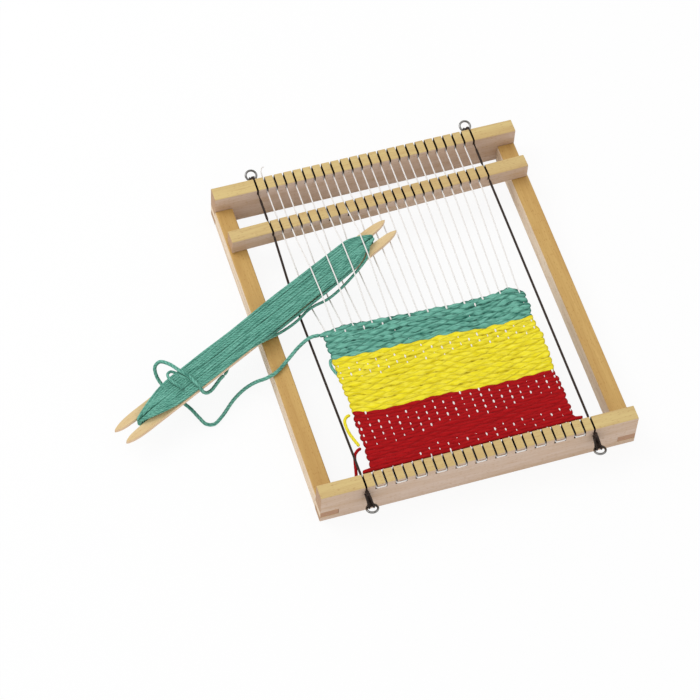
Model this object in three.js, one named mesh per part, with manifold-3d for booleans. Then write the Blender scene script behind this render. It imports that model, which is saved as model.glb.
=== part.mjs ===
// Children's rigid-heddle frame loom with a half-woven strip and a loaded stick shuttle in its warp.
// Millimetres, +Z up. +Y runs from the weaver's rail to the far rail, +X to the weaver's right.
// The origin is the middle of the front rail's underside.
import * as THREE from 'three';
import { mergeVertices } from 'three/addons/utils/BufferGeometryUtils.js';
import Module from 'manifold-3d';

const wasm = await Module();
wasm.setup();

// Frame sizes
const loomWidth = 288;
const loomDepth = 338;
const crossRailThickness = 14;
const crossRailHeight = 39;
const sideRailWidth = 16.5;
const sideRailHeight = 21;
const edgeRounding = 1.4;
const tenonThickness = 7.5;
const tenonFloor = 7;
const glueGap = 0.15;

// Slots for the warp, the same on both cross rails and the heddle bar
const slotCount = 24;
const slotPitch = 9;
const slotWidth = 1.6;
const railSlotDepth = 6.5;
const heddleSlotDepth = 5.5;

// Heddle bar, lying across the side rails and pushed a little askew
const heddleLength = 284.5;
const heddleThickness = 13.5;
const heddleHeight = 17;
const heddleGapToRearRail = 31;
const heddleClearBehind = 1;
const heddleTurn = THREE.MathUtils.degToRad(1.67);
const restGap = 0.3;

// Screw eyes
const eyeWire = 2;
const eyeRingDiameter = 13;
const eyeShankLength = 18;
const eyeTilt = THREE.MathUtils.degToRad(15);
const eyeSideways = 2;
const frontEyeReach = 13;
const rearEyeReach = 16;
const screwHoleClearance = 0.15;

// Elastic cords
const elasticDiameter = 2.4;
const elasticPinchedWidth = 1.1;
const elasticPinchedHeight = 3.2;
const knotDiameter = 5.2;
const tieDiameter = 2;
const tieOffset = 2.4;
const tieSlack = 0.45;
const strandSpread = 0.8;
const strandDrop = 0.6;
const knotDrop = 0.5;
const pinchLength = 3;

// Warp yarn and cloth
const warpDiameter = 0.9;
const runningGap = 0.3;
const frontLoopLift = 2.5;
const wovenWarpShare = 0.945;
const clothEndShare = 0.975;
const drawnInY = 35;
const weftPitch = 3.42;
const clothThickness = 4.8;
const clothValley = 0.75;
const tunnelClearance = 0.3;
const shedReach = 14;
const selvedgeBulge = 1.3;
const cutMargin = 2;
const warpTurnStart = 0.25;
const warpTurnShift = 0.85;
const clothWarpMargin = 2;
const clothStandoff = 1;

// Stick shuttle and its winding
const stickLength = 319.4;
const stickWidth = 24;
const stickThickness = 4;
const prongStart = 134;
const prongTipOffset = 7.7;
const prongShoulder = 6;
const notchMouth = 4.5;
const notchMouthReach = 4;
const notchFlare = 4;
const notchFlareReach = 13;
const notchPinch = 3.1;
const notchPinchReach = 8;
const notchRadius = 3.5;
const notchBottom = 115;
const shuttleCentre = new THREE.Vector3(-144.2, 178.3, 30.0);
const shuttleHeading = THREE.MathUtils.degToRad(25.26);
const shuttleTilt = THREE.MathUtils.degToRad(-3.3);
const yarnDiameter = 2.7;
const windingLayers = 2;
const loopsPerLayer = 6;
const loopPitch = 3.6;
const layerPitch = 3.25;
const columnPitch = 3.2;
const firstColumn = 119;
const columnOffset = 1.75;
const windingStart = -100;
const windingEnd = -50;
const windingEndShift = 2.3;
const windingBend = 2;
const windingSeat = 0.4;
const layerChangeShares = [0.15, 0.3, 0.5, 0.7, 0.85];

// Loose yarn ends
const leadDiameter = 3.2;
const tailDiameter = 2.8;

// Sizes that follow from the ones above
const frontFace = -crossRailThickness / 2;
const railBack = crossRailThickness / 2;
const rearFace = loomDepth - crossRailThickness / 2;
const rearRailFront = rearFace - crossRailThickness;
const halfWidth = loomWidth / 2;
const sideRailInner = halfWidth - sideRailWidth;
const railSlotFloor = crossRailHeight - railSlotDepth;
const heddleBottom = sideRailHeight + restGap;
const heddleTop = heddleBottom + heddleHeight;
const heddleSlotFloor = heddleTop - heddleSlotDepth;
const heddleMiddle = rearRailFront - heddleGapToRearRail - heddleThickness / 2;
const firstSlot = -(slotCount - 1) * slotPitch / 2;
const eyeHeight = crossRailHeight / 2;
const eyeRingRadius = (eyeRingDiameter - eyeWire) / 2;
const warpRadius = warpDiameter / 2;
const yarnRadius = yarnDiameter / 2;
const firstLayer = stickThickness / 2 + yarnRadius + windingSeat;
const windingTop = firstLayer + (windingLayers - 1) * layerPitch + yarnRadius;
const slotX = (slot) => firstSlot + (slot - 1) * slotPitch;

// Materials
const finishes = {
  beech: { color: 0xd8b985, roughness: 0.6, metalness: 0 },
  beechSide: { color: 0xc79f5c, roughness: 0.6, metalness: 0 },
  steel: { color: 0xb9bcc0, roughness: 0.25, metalness: 1 },
  elastic: { color: 0x2a1d17, roughness: 0.85, metalness: 0 },
  warp: { color: 0xf2efe9, roughness: 0.9, metalness: 0 },
  red: { color: 0xa8181f, roughness: 0.95, metalness: 0 },
  yellow: { color: 0xe8d32c, roughness: 0.95, metalness: 0 },
  teal: { color: 0x46a088, roughness: 0.95, metalness: 0 },
};

const loom = new THREE.Group();

function addPart(name, geometry, finish) {
  const mesh = new THREE.Mesh(geometry, new THREE.MeshStandardMaterial(finishes[finish]));
  mesh.name = name;
  loom.add(mesh);
  return mesh;
}

// Solids for joins and cuts
function toSolid(geometry) {
  const bare = new THREE.BufferGeometry();
  bare.setAttribute('position', geometry.getAttribute('position').clone());
  if (geometry.index) bare.setIndex(geometry.index.clone());
  const merged = mergeVertices(bare, 1e-4);
  return new wasm.Manifold(new wasm.Mesh({
    numProp: 3,
    vertProperties: new Float32Array(merged.getAttribute('position').array),
    triVerts: new Uint32Array(merged.index.array),
  }));
}

function toGeometry(solid) {
  const mesh = solid.getMesh();
  const geometry = new THREE.BufferGeometry();
  geometry.setAttribute('position', new THREE.BufferAttribute(mesh.vertProperties, 3));
  geometry.setIndex(new THREE.BufferAttribute(mesh.triVerts, 1));
  geometry.computeVertexNormals();
  return geometry;
}

function block(x0, x1, y0, y1, z0, z1) {
  const geometry = new THREE.BoxGeometry(x1 - x0, y1 - y0, z1 - z0);
  geometry.translate((x0 + x1) / 2, (y0 + y1) / 2, (z0 + z1) / 2);
  return toSolid(geometry);
}

// A bar of rounded section, lying along X, centred on X and Y, from the bottom up
function roundedBar(length, thickness, height) {
  const radius = Math.min(edgeRounding, thickness / 3, height / 3);
  const halfThick = thickness / 2 - radius;
  const section = new THREE.Shape();
  section.absarc(halfThick, height - radius, radius, 0, Math.PI / 2);
  section.absarc(-halfThick, height - radius, radius, Math.PI / 2, Math.PI);
  section.absarc(-halfThick, radius, radius, Math.PI, 1.5 * Math.PI);
  section.absarc(halfThick, radius, radius, 1.5 * Math.PI, 2 * Math.PI);
  const bar = new THREE.ExtrudeGeometry(section, { depth: length, bevelEnabled: false, curveSegments: 2 });
  bar.translate(0, 0, -length / 2);
  bar.rotateX(Math.PI / 2);
  bar.rotateZ(Math.PI / 2);
  return toSolid(bar);
}

function cutSlots(bar, thickness, floor, top) {
  let result = bar;
  for (let slot = 1; slot <= slotCount; slot += 1) {
    const middle = slotX(slot);
    const cut = block(middle - slotWidth / 2, middle + slotWidth / 2, -thickness, thickness, floor, top + 1);
    result = result.subtract(cut);
  }
  return result;
}

// Screw eye: a wire ring on a pointed shank. The ring's centre is the eye's own origin, the shank runs along -Y
function screwEyeSolid(clearance) {
  const ring = new THREE.TorusGeometry(eyeRingRadius, eyeWire / 2 + clearance, 8, 18);
  const shankRadius = eyeWire / 2 + clearance;
  const shankStart = eyeRingRadius - eyeWire / 4;
  const shankEnd = eyeRingRadius + eyeShankLength + clearance;
  const profile = [
    new THREE.Vector2(0, shankStart),
    new THREE.Vector2(shankRadius, shankStart),
    new THREE.Vector2(shankRadius, shankEnd - 2 * eyeWire),
    new THREE.Vector2(0, shankEnd),
  ];
  const shank = new THREE.LatheGeometry(profile, 12);
  shank.rotateX(Math.PI);
  return { ring: toSolid(ring), shank: toSolid(shank) };
}

// Where an eye's ring sits: side is -1 or 1, and outward is -1 at the front rail and 1 at the rear rail
function eyePlace(side, outward) {
  const reach = outward < 0 ? frontEyeReach : rearEyeReach;
  const face = outward < 0 ? frontFace : rearFace;
  const centre = new THREE.Vector3(
    side * -firstSlot + eyeSideways,
    face + outward * reach * Math.cos(eyeTilt),
    eyeHeight + reach * Math.sin(eyeTilt),
  );
  const turn = outward < 0 ? Math.PI : 0;
  const matrix = new THREE.Matrix4().makeRotationX(outward * eyeTilt);
  matrix.multiply(new THREE.Matrix4().makeRotationZ(turn));
  matrix.setPosition(centre);
  return { centre, matrix };
}

function placed(solid, matrix) {
  return toSolid(toGeometry(solid).applyMatrix4(matrix));
}

// Cross rails
function crossRail(outward) {
  let rail = roundedBar(loomWidth, crossRailThickness, crossRailHeight);
  rail = cutSlots(rail, crossRailThickness, railSlotFloor, crossRailHeight);
  for (const side of [-1, 1]) {
    const inner = side * (sideRailInner - glueGap);
    const outer = side * (halfWidth + 1);
    rail = rail.subtract(block(
      Math.min(inner, outer),
      Math.max(inner, outer),
      -crossRailThickness,
      crossRailThickness,
      tenonFloor,
      tenonFloor + tenonThickness,
    ));
  }
  const middle = outward < 0 ? 0 : loomDepth - crossRailThickness;
  rail = rail.translate([0, middle, 0]);
  const holeTool = screwEyeSolid(screwHoleClearance);
  for (const side of [-1, 1]) {
    rail = rail.subtract(placed(holeTool.shank, eyePlace(side, outward).matrix));
  }
  return rail;
}

addPart('front_rail', toGeometry(crossRail(-1)), 'beech');
addPart('rear_rail', toGeometry(crossRail(1)), 'beech');

// Side rails, each with a tenon through both cross rails
function sideRail(side) {
  const clearLength = rearRailFront - railBack - 2 * glueGap;
  const centreX = side * (halfWidth - sideRailWidth / 2);
  const centreY = (railBack + rearRailFront) / 2;
  const bar = roundedBar(clearLength, sideRailWidth, sideRailHeight);
  const body = bar.rotate([0, 0, 90]).translate([centreX, centreY, 0]);
  const tenon = block(
    centreX - sideRailWidth / 2,
    centreX + sideRailWidth / 2,
    frontFace,
    rearFace,
    tenonFloor + glueGap,
    tenonFloor + tenonThickness - glueGap,
  );
  return body.add(tenon);
}

addPart('left_side_rail', toGeometry(sideRail(-1)), 'beechSide');
addPart('right_side_rail', toGeometry(sideRail(1)), 'beechSide');

// Heddle bar
const heddle = cutSlots(
  roundedBar(heddleLength, heddleThickness, heddleHeight),
  heddleThickness,
  heddleHeight - heddleSlotDepth,
  heddleHeight,
);
const heddleMesh = addPart('heddle_bar', toGeometry(heddle), 'beech');
heddleMesh.position.set(0, heddleMiddle, heddleBottom);
heddleMesh.rotation.z = heddleTurn;

// Screw eyes
for (const [name, side, outward] of [
  ['screw_eye_front_left', -1, -1],
  ['screw_eye_front_right', 1, -1],
  ['screw_eye_rear_left', -1, 1],
  ['screw_eye_rear_right', 1, 1],
]) {
  const eye = screwEyeSolid(0);
  const mesh = addPart(name, toGeometry(eye.ring.add(eye.shank)), 'steel');
  const place = eyePlace(side, outward);
  mesh.applyMatrix4(place.matrix);
}

// The shuttle's own frame: s along the stick, w across it, h up from its middle plane
const shuttleAxis = new THREE.Vector3(
  Math.cos(shuttleTilt) * Math.cos(shuttleHeading),
  Math.cos(shuttleTilt) * Math.sin(shuttleHeading),
  -Math.sin(shuttleTilt),
);
const shuttleAcross = new THREE.Vector3(-Math.sin(shuttleHeading), Math.cos(shuttleHeading), 0);
const shuttleUp = new THREE.Vector3().crossVectors(shuttleAxis, shuttleAcross);
const shuttleFrame = new THREE.Matrix4().makeBasis(shuttleAxis, shuttleAcross, shuttleUp);
shuttleFrame.setPosition(shuttleCentre);

function shuttlePoint(s, w, h) {
  return new THREE.Vector3(s, w, h).applyMatrix4(shuttleFrame);
}

// Height of the plane h above the stick's middle plane, over the point (x, y)
function shuttleHeightAt(x, y, h) {
  const lean = shuttleUp.x * (x - shuttleCentre.x) + shuttleUp.y * (y - shuttleCentre.y);
  return shuttleCentre.z + (h - lean) / shuttleUp.z;
}

// Where the line x = constant crosses the line w = constant of the shuttle
function shuttleCrossingY(x, w) {
  return shuttleCentre.y + (w - shuttleAcross.x * (x - shuttleCentre.x)) / shuttleAcross.y;
}

// A tube through rings of points, closed at both ends. Each ring is turned as little as possible from the last
function ringTube(path, sides, sectionAt) {
  const positions = [];
  const index = [];
  const tangent = new THREE.Vector3();
  const normal = new THREE.Vector3();
  const binormal = new THREE.Vector3();
  const last = path.length - 1;
  path.forEach((point, i) => {
    const before = path[Math.max(i - 1, 0)];
    const after = path[Math.min(i + 1, last)];
    const incoming = point.clone().sub(before).normalize();
    const outgoing = after.clone().sub(point).normalize();
    tangent.addVectors(incoming, outgoing).normalize();
    if (i === 0) {
      const reference = Math.abs(tangent.x) < 0.9 ? new THREE.Vector3(1, 0, 0) : new THREE.Vector3(0, 0, 1);
      normal.copy(reference);
    }
    normal.addScaledVector(tangent, -normal.dot(tangent)).normalize();
    binormal.crossVectors(tangent, normal);
    const [across, up] = sectionAt(i);
    for (let side = 0; side < sides; side += 1) {
      const angle = 2 * Math.PI * (side + 0.5) / sides;
      const ring = point.clone();
      ring.addScaledVector(normal, across * Math.cos(angle));
      ring.addScaledVector(binormal, up * Math.sin(angle));
      positions.push(ring.x, ring.y, ring.z);
    }
  });
  for (let i = 0; i < last; i += 1) {
    for (let side = 0; side < sides; side += 1) {
      const a = i * sides + side;
      const b = i * sides + (side + 1) % sides;
      index.push(a, b, a + sides, b, b + sides, a + sides);
    }
  }
  for (let side = 1; side < sides - 1; side += 1) {
    index.push(0, side + 1, side);
    index.push(last * sides, last * sides + side, last * sides + side + 1);
  }
  const geometry = new THREE.BufferGeometry();
  geometry.setAttribute('position', new THREE.Float32BufferAttribute(positions, 3));
  geometry.setIndex(index);
  geometry.computeVertexNormals();
  return geometry;
}

// Corner points with rounded corners: each corner is replaced by three points on an arc
function roundCorners(corners, radius) {
  const path = [corners[0]];
  for (let i = 1; i < corners.length - 1; i += 1) {
    const corner = corners[i];
    const back = corners[i - 1].clone().sub(corner);
    const onward = corners[i + 1].clone().sub(corner);
    const halfAngle = back.angleTo(onward) / 2;
    const reach = Math.min(radius / Math.tan(halfAngle), back.length() * 0.48, onward.length() * 0.48);
    back.normalize();
    onward.normalize();
    const start = corner.clone().addScaledVector(back, reach);
    const end = corner.clone().addScaledVector(onward, reach);
    const bend = reach * Math.tan(halfAngle);
    const inward = back.clone().add(onward).normalize();
    const middle = corner.clone().addScaledVector(inward, bend / Math.sin(halfAngle) - bend);
    path.push(start, middle, end);
  }
  path.push(corners[corners.length - 1]);
  return path;
}

// Shuttle stick: a flat stick with a rounded notch and two leaf-shaped prongs at each end.
// One end is drawn, and the other is the same turned half round
function stickOutline() {
  const half = stickLength / 2;
  const edge = stickWidth / 2;
  const notchMiddle = notchBottom + notchRadius;
  const neck = notchMiddle + 2 * notchRadius;
  const end = new THREE.Path();
  end.moveTo(prongStart, -edge);
  end.quadraticCurveTo(half - prongShoulder, -edge, half, -prongTipOffset);
  end.quadraticCurveTo(half - notchMouthReach, -notchMouth, half - notchFlareReach, -notchFlare);
  end.quadraticCurveTo(neck + notchPinchReach, -notchPinch, neck, -notchRadius);
  end.lineTo(notchMiddle, -notchRadius);
  end.absarc(notchMiddle, 0, notchRadius, -Math.PI / 2, Math.PI / 2, true);
  end.lineTo(neck, notchRadius);
  end.quadraticCurveTo(neck + notchPinchReach, notchPinch, half - notchFlareReach, notchFlare);
  end.quadraticCurveTo(half - notchMouthReach, notchMouth, half, prongTipOffset);
  end.quadraticCurveTo(half - prongShoulder, edge, prongStart, edge);
  const points = end.getPoints(6);
  const turned = points.map((point) => new THREE.Vector2(-point.x, -point.y));
  return new THREE.Shape([...points, ...turned]);
}

const stick = new THREE.ExtrudeGeometry(stickOutline(), {
  depth: stickThickness,
  bevelEnabled: false,
});
stick.translate(0, 0, -stickThickness / 2);
const stickMesh = addPart('shuttle_stick', toGeometry(toSolid(stick)), 'beech');
stickMesh.applyMatrix4(shuttleFrame);

// Shuttle winding: one strand wound lengthwise, through the notches, in two layers
function windingLoops() {
  const loops = [];
  for (let layer = 0; layer < windingLayers; layer += 1) {
    for (let turn = 0; turn < loopsPerLayer; turn += 1) {
      const order = layer % 2 === 0 ? turn : loopsPerLayer - 1 - turn;
      const place = order - (loopsPerLayer - 1) / 2;
      const rank = Math.abs(place) - 0.5;
      const w = Math.sign(place) * (columnOffset + rank * loopPitch);
      const column = firstColumn + (layer * loopsPerLayer / 2 + rank) * columnPitch;
      loops.push({ w, column, notch: Math.sign(w) * columnOffset, height: firstLayer + layer * layerPitch });
    }
  }
  return loops;
}

// The four corners round one end of the stick, from the run above to the run below, or back up
function endCorners(loop, end, from) {
  const s = end * loop.column;
  const corners = [];
  const direct = Math.abs(loop.w) - columnOffset < 0.01;
  if (!direct) corners.push(new THREE.Vector3(s, loop.w, from * loop.height));
  corners.push(new THREE.Vector3(s, loop.notch, from * loop.height));
  corners.push(new THREE.Vector3(s, loop.notch, -from * loop.height));
  if (!direct) corners.push(new THREE.Vector3(s, loop.w, -from * loop.height));
  return corners;
}

function windingCorners() {
  const loops = windingLoops();
  const corners = [new THREE.Vector3(windingStart, loops[0].w, loops[0].height)];
  loops.forEach((loop, i) => {
    corners.push(...endCorners(loop, 1, 1));
    const next = loops[i + 1];
    if (!next) return;
    if (next.height > loop.height) {
      const from = new THREE.Vector3(loop.column, loop.w, -loop.height);
      const to = new THREE.Vector3(-next.column, next.w, -next.height);
      for (const share of layerChangeShares) {
        const point = from.clone().lerp(to, share);
        point.z = -THREE.MathUtils.lerp(loop.height, next.height, THREE.MathUtils.smoothstep(share, 0, 1));
        point.y += Math.sign(loop.w) * Math.sin(Math.PI * share);
        corners.push(point);
      }
    }
    corners.push(...endCorners(next, -1, -1));
  });
  const final = loops[loops.length - 1];
  corners.push(new THREE.Vector3(windingEnd, final.w + Math.sign(final.w) * windingEndShift, -final.height));
  return corners;
}

// Least clear distance between stretches of a path that are not neighbours
function leastGapToItself(path, radius, step, skip) {
  const points = [];
  let along = 0;
  for (let i = 0; i < path.length - 1; i += 1) {
    const length = path[i].distanceTo(path[i + 1]);
    const count = Math.max(1, Math.round(length / step));
    for (let j = 0; j < count; j += 1) {
      points.push({ at: along + length * j / count, point: path[i].clone().lerp(path[i + 1], j / count) });
    }
    along += length;
  }
  let least = Infinity;
  for (let i = 0; i < points.length; i += 1) {
    for (let j = i + 1; j < points.length; j += 1) {
      if (points[j].at - points[i].at < skip) continue;
      const distance = points[i].point.distanceTo(points[j].point);
      if (distance < least) least = distance;
    }
  }
  return least - 2 * radius;
}

const windingPath = roundCorners(windingCorners(), windingBend);
const windingTube = ringTube(windingPath, 6, () => [yarnRadius, yarnRadius]);
const windingMesh = addPart('shuttle_winding', windingTube, 'teal');
windingMesh.applyMatrix4(shuttleFrame);
const windingGap = leastGapToItself(windingPath, yarnRadius, 1, 12);
console.log(`Shuttle winding: least gap to itself ${windingGap.toFixed(2)} mm`);

// Cloth: three bands woven on the same warps, drawn in a little between the rails.
// Each boundary gives the Y of the weft at its left and right end, and the X of both selvedges
const boundaries = [
  { left: -91.7, right: 92.6, leftY: 156.5, rightY: 150.0 },
  { left: -92.3, right: 92.6, leftY: 127.2, rightY: 121.3 },
  { left: -91.0, right: 91.6, leftY: 69.8, rightY: 62.9 },
  { left: -92.8, right: 91.6, leftY: 9.6, rightY: 9.2 },
];
const firstWarp = 2;
const lastWarp = slotCount - 1;
const warpRearHeight = railSlotFloor + runningGap + warpRadius;
const warpFrontHeight = railSlotFloor + frontLoopLift / 2 + warpRadius;
const clothTopY = boundaries[0].leftY + clothWarpMargin;
const clothEndY = railBack + clothStandoff;

// Height of the straight warp line between the rails
function warpLineHeight(y) {
  const share = (rearRailFront - y) / (rearRailFront - railBack);
  return THREE.MathUtils.lerp(warpRearHeight, warpFrontHeight, share);
}

const clothHeight = warpLineHeight((clothTopY + clothEndY) / 2);

// Plan outline of a band, with a bulge at each selvedge for every turn of the weft
function clothOutline(upper, lower, rows) {
  const gap = restGap / 2;
  const turns = Math.round(rows / 2);
  const place = (boundary, share, shift) => new THREE.Vector2(
    THREE.MathUtils.lerp(boundary.left, boundary.right, share),
    THREE.MathUtils.lerp(boundary.leftY, boundary.rightY, share) + shift,
  );
  const selvedge = (share, outward) => {
    const points = [];
    for (let half = 0; half <= 2 * turns; half += 1) {
      const point = place(upper, share, -gap).lerp(place(lower, share, gap), half / (2 * turns));
      if (half % 2 === 1) point.x += outward * selvedgeBulge;
      points.push(point);
    }
    return points;
  };
  return new THREE.Shape([...selvedge(0, -1), ...selvedge(1, 1).reverse()]);
}

// A band with its rows of weft as ridges, from the upper boundary to the lower one
function clothSolid(upper, lower, rows) {
  const outline = clothOutline(upper, lower, rows);
  const plan = new THREE.ExtrudeGeometry(outline, { depth: clothThickness * 2, bevelEnabled: false });
  plan.translate(0, 0, clothHeight - clothThickness);
  const leftX = Math.min(upper.left, lower.left) - selvedgeBulge - cutMargin;
  const rightX = Math.max(upper.right, lower.right) + selvedgeBulge + cutMargin;
  const ridge = clothThickness / 2;
  const valley = ridge - clothValley;
  const at = (boundary, x) => {
    const share = (x - boundary.left) / (boundary.right - boundary.left);
    return THREE.MathUtils.lerp(boundary.leftY, boundary.rightY, share);
  };
  const positions = [];
  const index = [];
  const steps = 2 * rows + 2;
  for (const x of [leftX, rightX]) {
    const from = at(upper, x);
    const to = at(lower, x);
    for (const side of [1, -1]) {
      for (let i = 0; i <= steps; i += 1) {
        let y = THREE.MathUtils.lerp(from, to, (i - 1) / (2 * rows));
        if (i === 0) y = from + cutMargin;
        if (i === steps) y = to - cutMargin;
        const high = i % 2 === 0;
        positions.push(x, y, clothHeight + side * (high ? ridge : valley));
      }
    }
  }
  const count = steps + 1;
  const vertex = (xIndex, side, i) => xIndex * 2 * count + side * count + i;
  for (let i = 0; i < steps; i += 1) {
    const a = vertex(0, 0, i);
    const b = vertex(0, 0, i + 1);
    const c = vertex(1, 0, i);
    const d = vertex(1, 0, i + 1);
    index.push(a, b, c, b, d, c);
    const e = vertex(0, 1, i);
    const f = vertex(0, 1, i + 1);
    const g = vertex(1, 1, i);
    const h = vertex(1, 1, i + 1);
    index.push(e, g, f, f, g, h);
    index.push(a, e, b, b, e, f);
    index.push(c, d, g, d, h, g);
  }
  for (const i of [0, steps]) {
    const a = vertex(0, 0, i);
    const c = vertex(1, 0, i);
    const e = vertex(0, 1, i);
    const g = vertex(1, 1, i);
    if (i === 0) index.push(a, c, e, c, g, e);
    else index.push(a, e, c, c, e, g);
  }
  const ribs = new THREE.BufferGeometry();
  ribs.setAttribute('position', new THREE.Float32BufferAttribute(positions, 3));
  ribs.setIndex(index);
  return toSolid(ribs).intersect(toSolid(plan));
}

// Plan position of a warp at y: straight from slot to shed, drawn in inside the cloth
function warpX(slot, y) {
  const x = slotX(slot);
  const shedY = heddleMiddle - heddleThickness / 2 - shedReach;
  if (y >= shedY || y <= railBack) return x;
  if (y >= clothTopY) return x * THREE.MathUtils.lerp(wovenWarpShare, 1, (y - clothTopY) / (shedY - clothTopY));
  if (y >= drawnInY) return x * wovenWarpShare;
  if (y <= clothEndY) return x * THREE.MathUtils.lerp(1, clothEndShare, (y - railBack) / (clothEndY - railBack));
  return x * THREE.MathUtils.lerp(clothEndShare, wovenWarpShare, (y - clothEndY) / (drawnInY - clothEndY));
}

// The stretch of a warp inside the cloth, from its far end
function wovenStretch(slot) {
  return [clothTopY, drawnInY, clothEndY].map((y) => new THREE.Vector3(warpX(slot, y), y, warpLineHeight(y)));
}

function warpTunnels() {
  const reach = warpRadius + tunnelClearance;
  const tools = [];
  for (let slot = firstWarp; slot <= lastWarp; slot += 1) {
    const path = wovenStretch(slot).reverse();
    tools.push(toSolid(ringTube(path, 4, () => [reach * Math.SQRT2, reach * Math.SQRT2])));
  }
  return wasm.Manifold.union(tools);
}

const tunnels = warpTunnels();
['teal', 'yellow', 'red'].forEach((colour, band) => {
  const [upper, lower] = [boundaries[band], boundaries[band + 1]];
  const rows = Math.round((upper.leftY - lower.leftY) / weftPitch);
  addPart(`${colour}_cloth`, toGeometry(clothSolid(upper, lower, rows).subtract(tunnels)), colour);
});

// Warp yarn: one length of thread, up and down through slots 2 to 23, looped outside both rails
const warpsOverShuttle = [3, 5, 7, 9];
const warpsUnderShuttle = [2, 4, 6, 8, 10];
const loopStandoff = restGap + warpRadius;

function warpCrossing(slot) {
  const x = slotX(slot);
  const over = warpsOverShuttle.includes(slot);
  const side = over ? 1 : -1;
  const reach = windingTop + runningGap + warpRadius;
  const points = [];
  for (const across of [1, 0, -1]) {
    const w = across * stickWidth / 2;
    const y = shuttleCrossingY(x, w);
    points.push(new THREE.Vector3(warpX(slot, y), y, shuttleHeightAt(x, y, side * reach)));
  }
  return points;
}

// One warp from the rear rail to the front rail
function warpRun(slot) {
  const x = slotX(slot);
  const points = [new THREE.Vector3(x, rearRailFront, warpRearHeight)];
  const heddleY = heddleMiddle + x * Math.tan(heddleTurn);
  const frontY = heddleY - heddleThickness / 2 - shedReach;
  const front = new THREE.Vector3(x, frontY, warpLineHeight(frontY));
  if (warpsOverShuttle.includes(slot)) {
    const backY = heddleY + heddleThickness / 2 + heddleClearBehind;
    const back = new THREE.Vector3(x, backY, warpLineHeight(backY));
    const crossing = warpCrossing(slot);
    const share = (backY - frontY) / (backY - crossing[0].y);
    front.z = THREE.MathUtils.lerp(back.z, crossing[0].z, share);
    points.push(back, front, ...crossing);
  } else if (warpsUnderShuttle.includes(slot)) {
    points.push(front, ...warpCrossing(slot));
  } else {
    points.push(front);
  }
  points.push(...wovenStretch(slot), new THREE.Vector3(x, railBack, warpFrontHeight));
  return points;
}

// Two corner points of the loop outside a rail
function loopCorner(slot, outward, towards) {
  const face = outward < 0 ? frontFace : rearFace;
  const height = outward < 0 ? railSlotFloor + frontLoopLift + warpRadius : warpRearHeight;
  const x = slotX(slot);
  const near = face + outward * warpTurnStart;
  const far = face + outward * loopStandoff;
  return [new THREE.Vector3(x, near, height), new THREE.Vector3(x + towards * warpTurnShift, far, height)];
}

// The thread's free start curls up behind the rear rail: X, distance behind the rail, height over the slot
const warpCurl = [
  [-91, 9.5, 6.5],
  [-93.5, 9, 6.5],
  [-95, 6, 5],
  [-94.5, 0.5, 0.2],
];
const warpEndLength = 3;

function warpPath() {
  const path = warpCurl.map(([x, behind, over]) => new THREE.Vector3(x, rearFace + behind, warpRearHeight + over));
  for (let slot = firstWarp; slot <= lastWarp; slot += 1) {
    const run = warpRun(slot);
    const towardsFront = (slot - firstWarp) % 2 === 0;
    if (towardsFront) {
      if (slot > firstWarp) path.push(...loopCorner(slot, 1, -1).reverse());
      path.push(...run);
      path.push(...loopCorner(slot, -1, 1));
    } else {
      path.push(...loopCorner(slot, -1, -1).reverse());
      path.push(...run.reverse());
      if (slot < lastWarp) path.push(...loopCorner(slot, 1, 1));
      else path.push(new THREE.Vector3(slotX(slot), rearFace + warpEndLength, warpRearHeight));
    }
  }
  return path;
}

addPart('warp_yarn', ringTube(warpPath(), 6, () => [warpRadius, warpRadius]), 'warp');

// Elastic cords: from eye to eye through the outermost slots, round where free and pinched flat in a slot
function elasticCord(side) {
  const slot = side < 0 ? 1 : slotCount;
  const x = slotX(slot);
  const round = [elasticDiameter / 2, elasticDiameter / 2];
  const pinched = [elasticPinchedWidth / 2, elasticPinchedHeight / 2];
  const inRail = railSlotFloor + runningGap + elasticPinchedHeight / 2;
  const inHeddle = heddleSlotFloor + runningGap + elasticPinchedHeight / 2;
  const stations = [];
  const station = (atX, y, z, section) => stations.push({ point: new THREE.Vector3(atX, y, z), section });
  const knotReach = knotDiameter / 2 + runningGap;
  station(x, rearFace + knotReach, inRail, pinched);
  station(x, rearRailFront - restGap, inRail, pinched);
  station(x, rearRailFront - pinchLength, inRail, round);
  const heddleY = heddleMiddle + x * Math.tan(heddleTurn);
  const skew = heddleThickness / 2 * Math.sin(heddleTurn);
  station(x - skew, heddleY + heddleThickness / 2 + pinchLength, inHeddle, round);
  station(x - skew, heddleY + heddleThickness / 2 + restGap, inHeddle, pinched);
  station(x + skew, heddleY - heddleThickness / 2 - restGap, inHeddle, pinched);
  station(x + skew, heddleY - heddleThickness / 2 - pinchLength, inHeddle, round);
  if (side < 0) {
    const under = windingTop + runningGap + elasticDiameter / 2 + restGap / 2;
    for (const across of [1, -1]) {
      const y = shuttleCrossingY(x, across * stickWidth / 2);
      station(x, y, shuttleHeightAt(x, y, -under), round);
    }
  }
  station(x, railBack + pinchLength, inRail, round);
  station(x, railBack + restGap, inRail, pinched);
  station(x, frontFace - knotReach, inRail, pinched);
  const sections = stations.map((entry) => entry.section);
  let cord = toSolid(ringTube(stations.map((entry) => entry.point), 8, (i) => sections[i]));
  for (const outward of [-1, 1]) {
    const face = outward < 0 ? frontFace : rearFace;
    const knotCentre = new THREE.Vector3(x, face + outward * knotReach, inRail - knotDrop);
    const knot = new THREE.SphereGeometry(knotDiameter / 2, 10, 8);
    knot.rotateX(Math.PI / 2);
    knot.translate(knotCentre.x, knotCentre.y, knotCentre.z);
    cord = cord.add(toSolid(knot));
    cord = cord.add(tieLoop(side, outward, knotCentre));
  }
  return cord;
}

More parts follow.
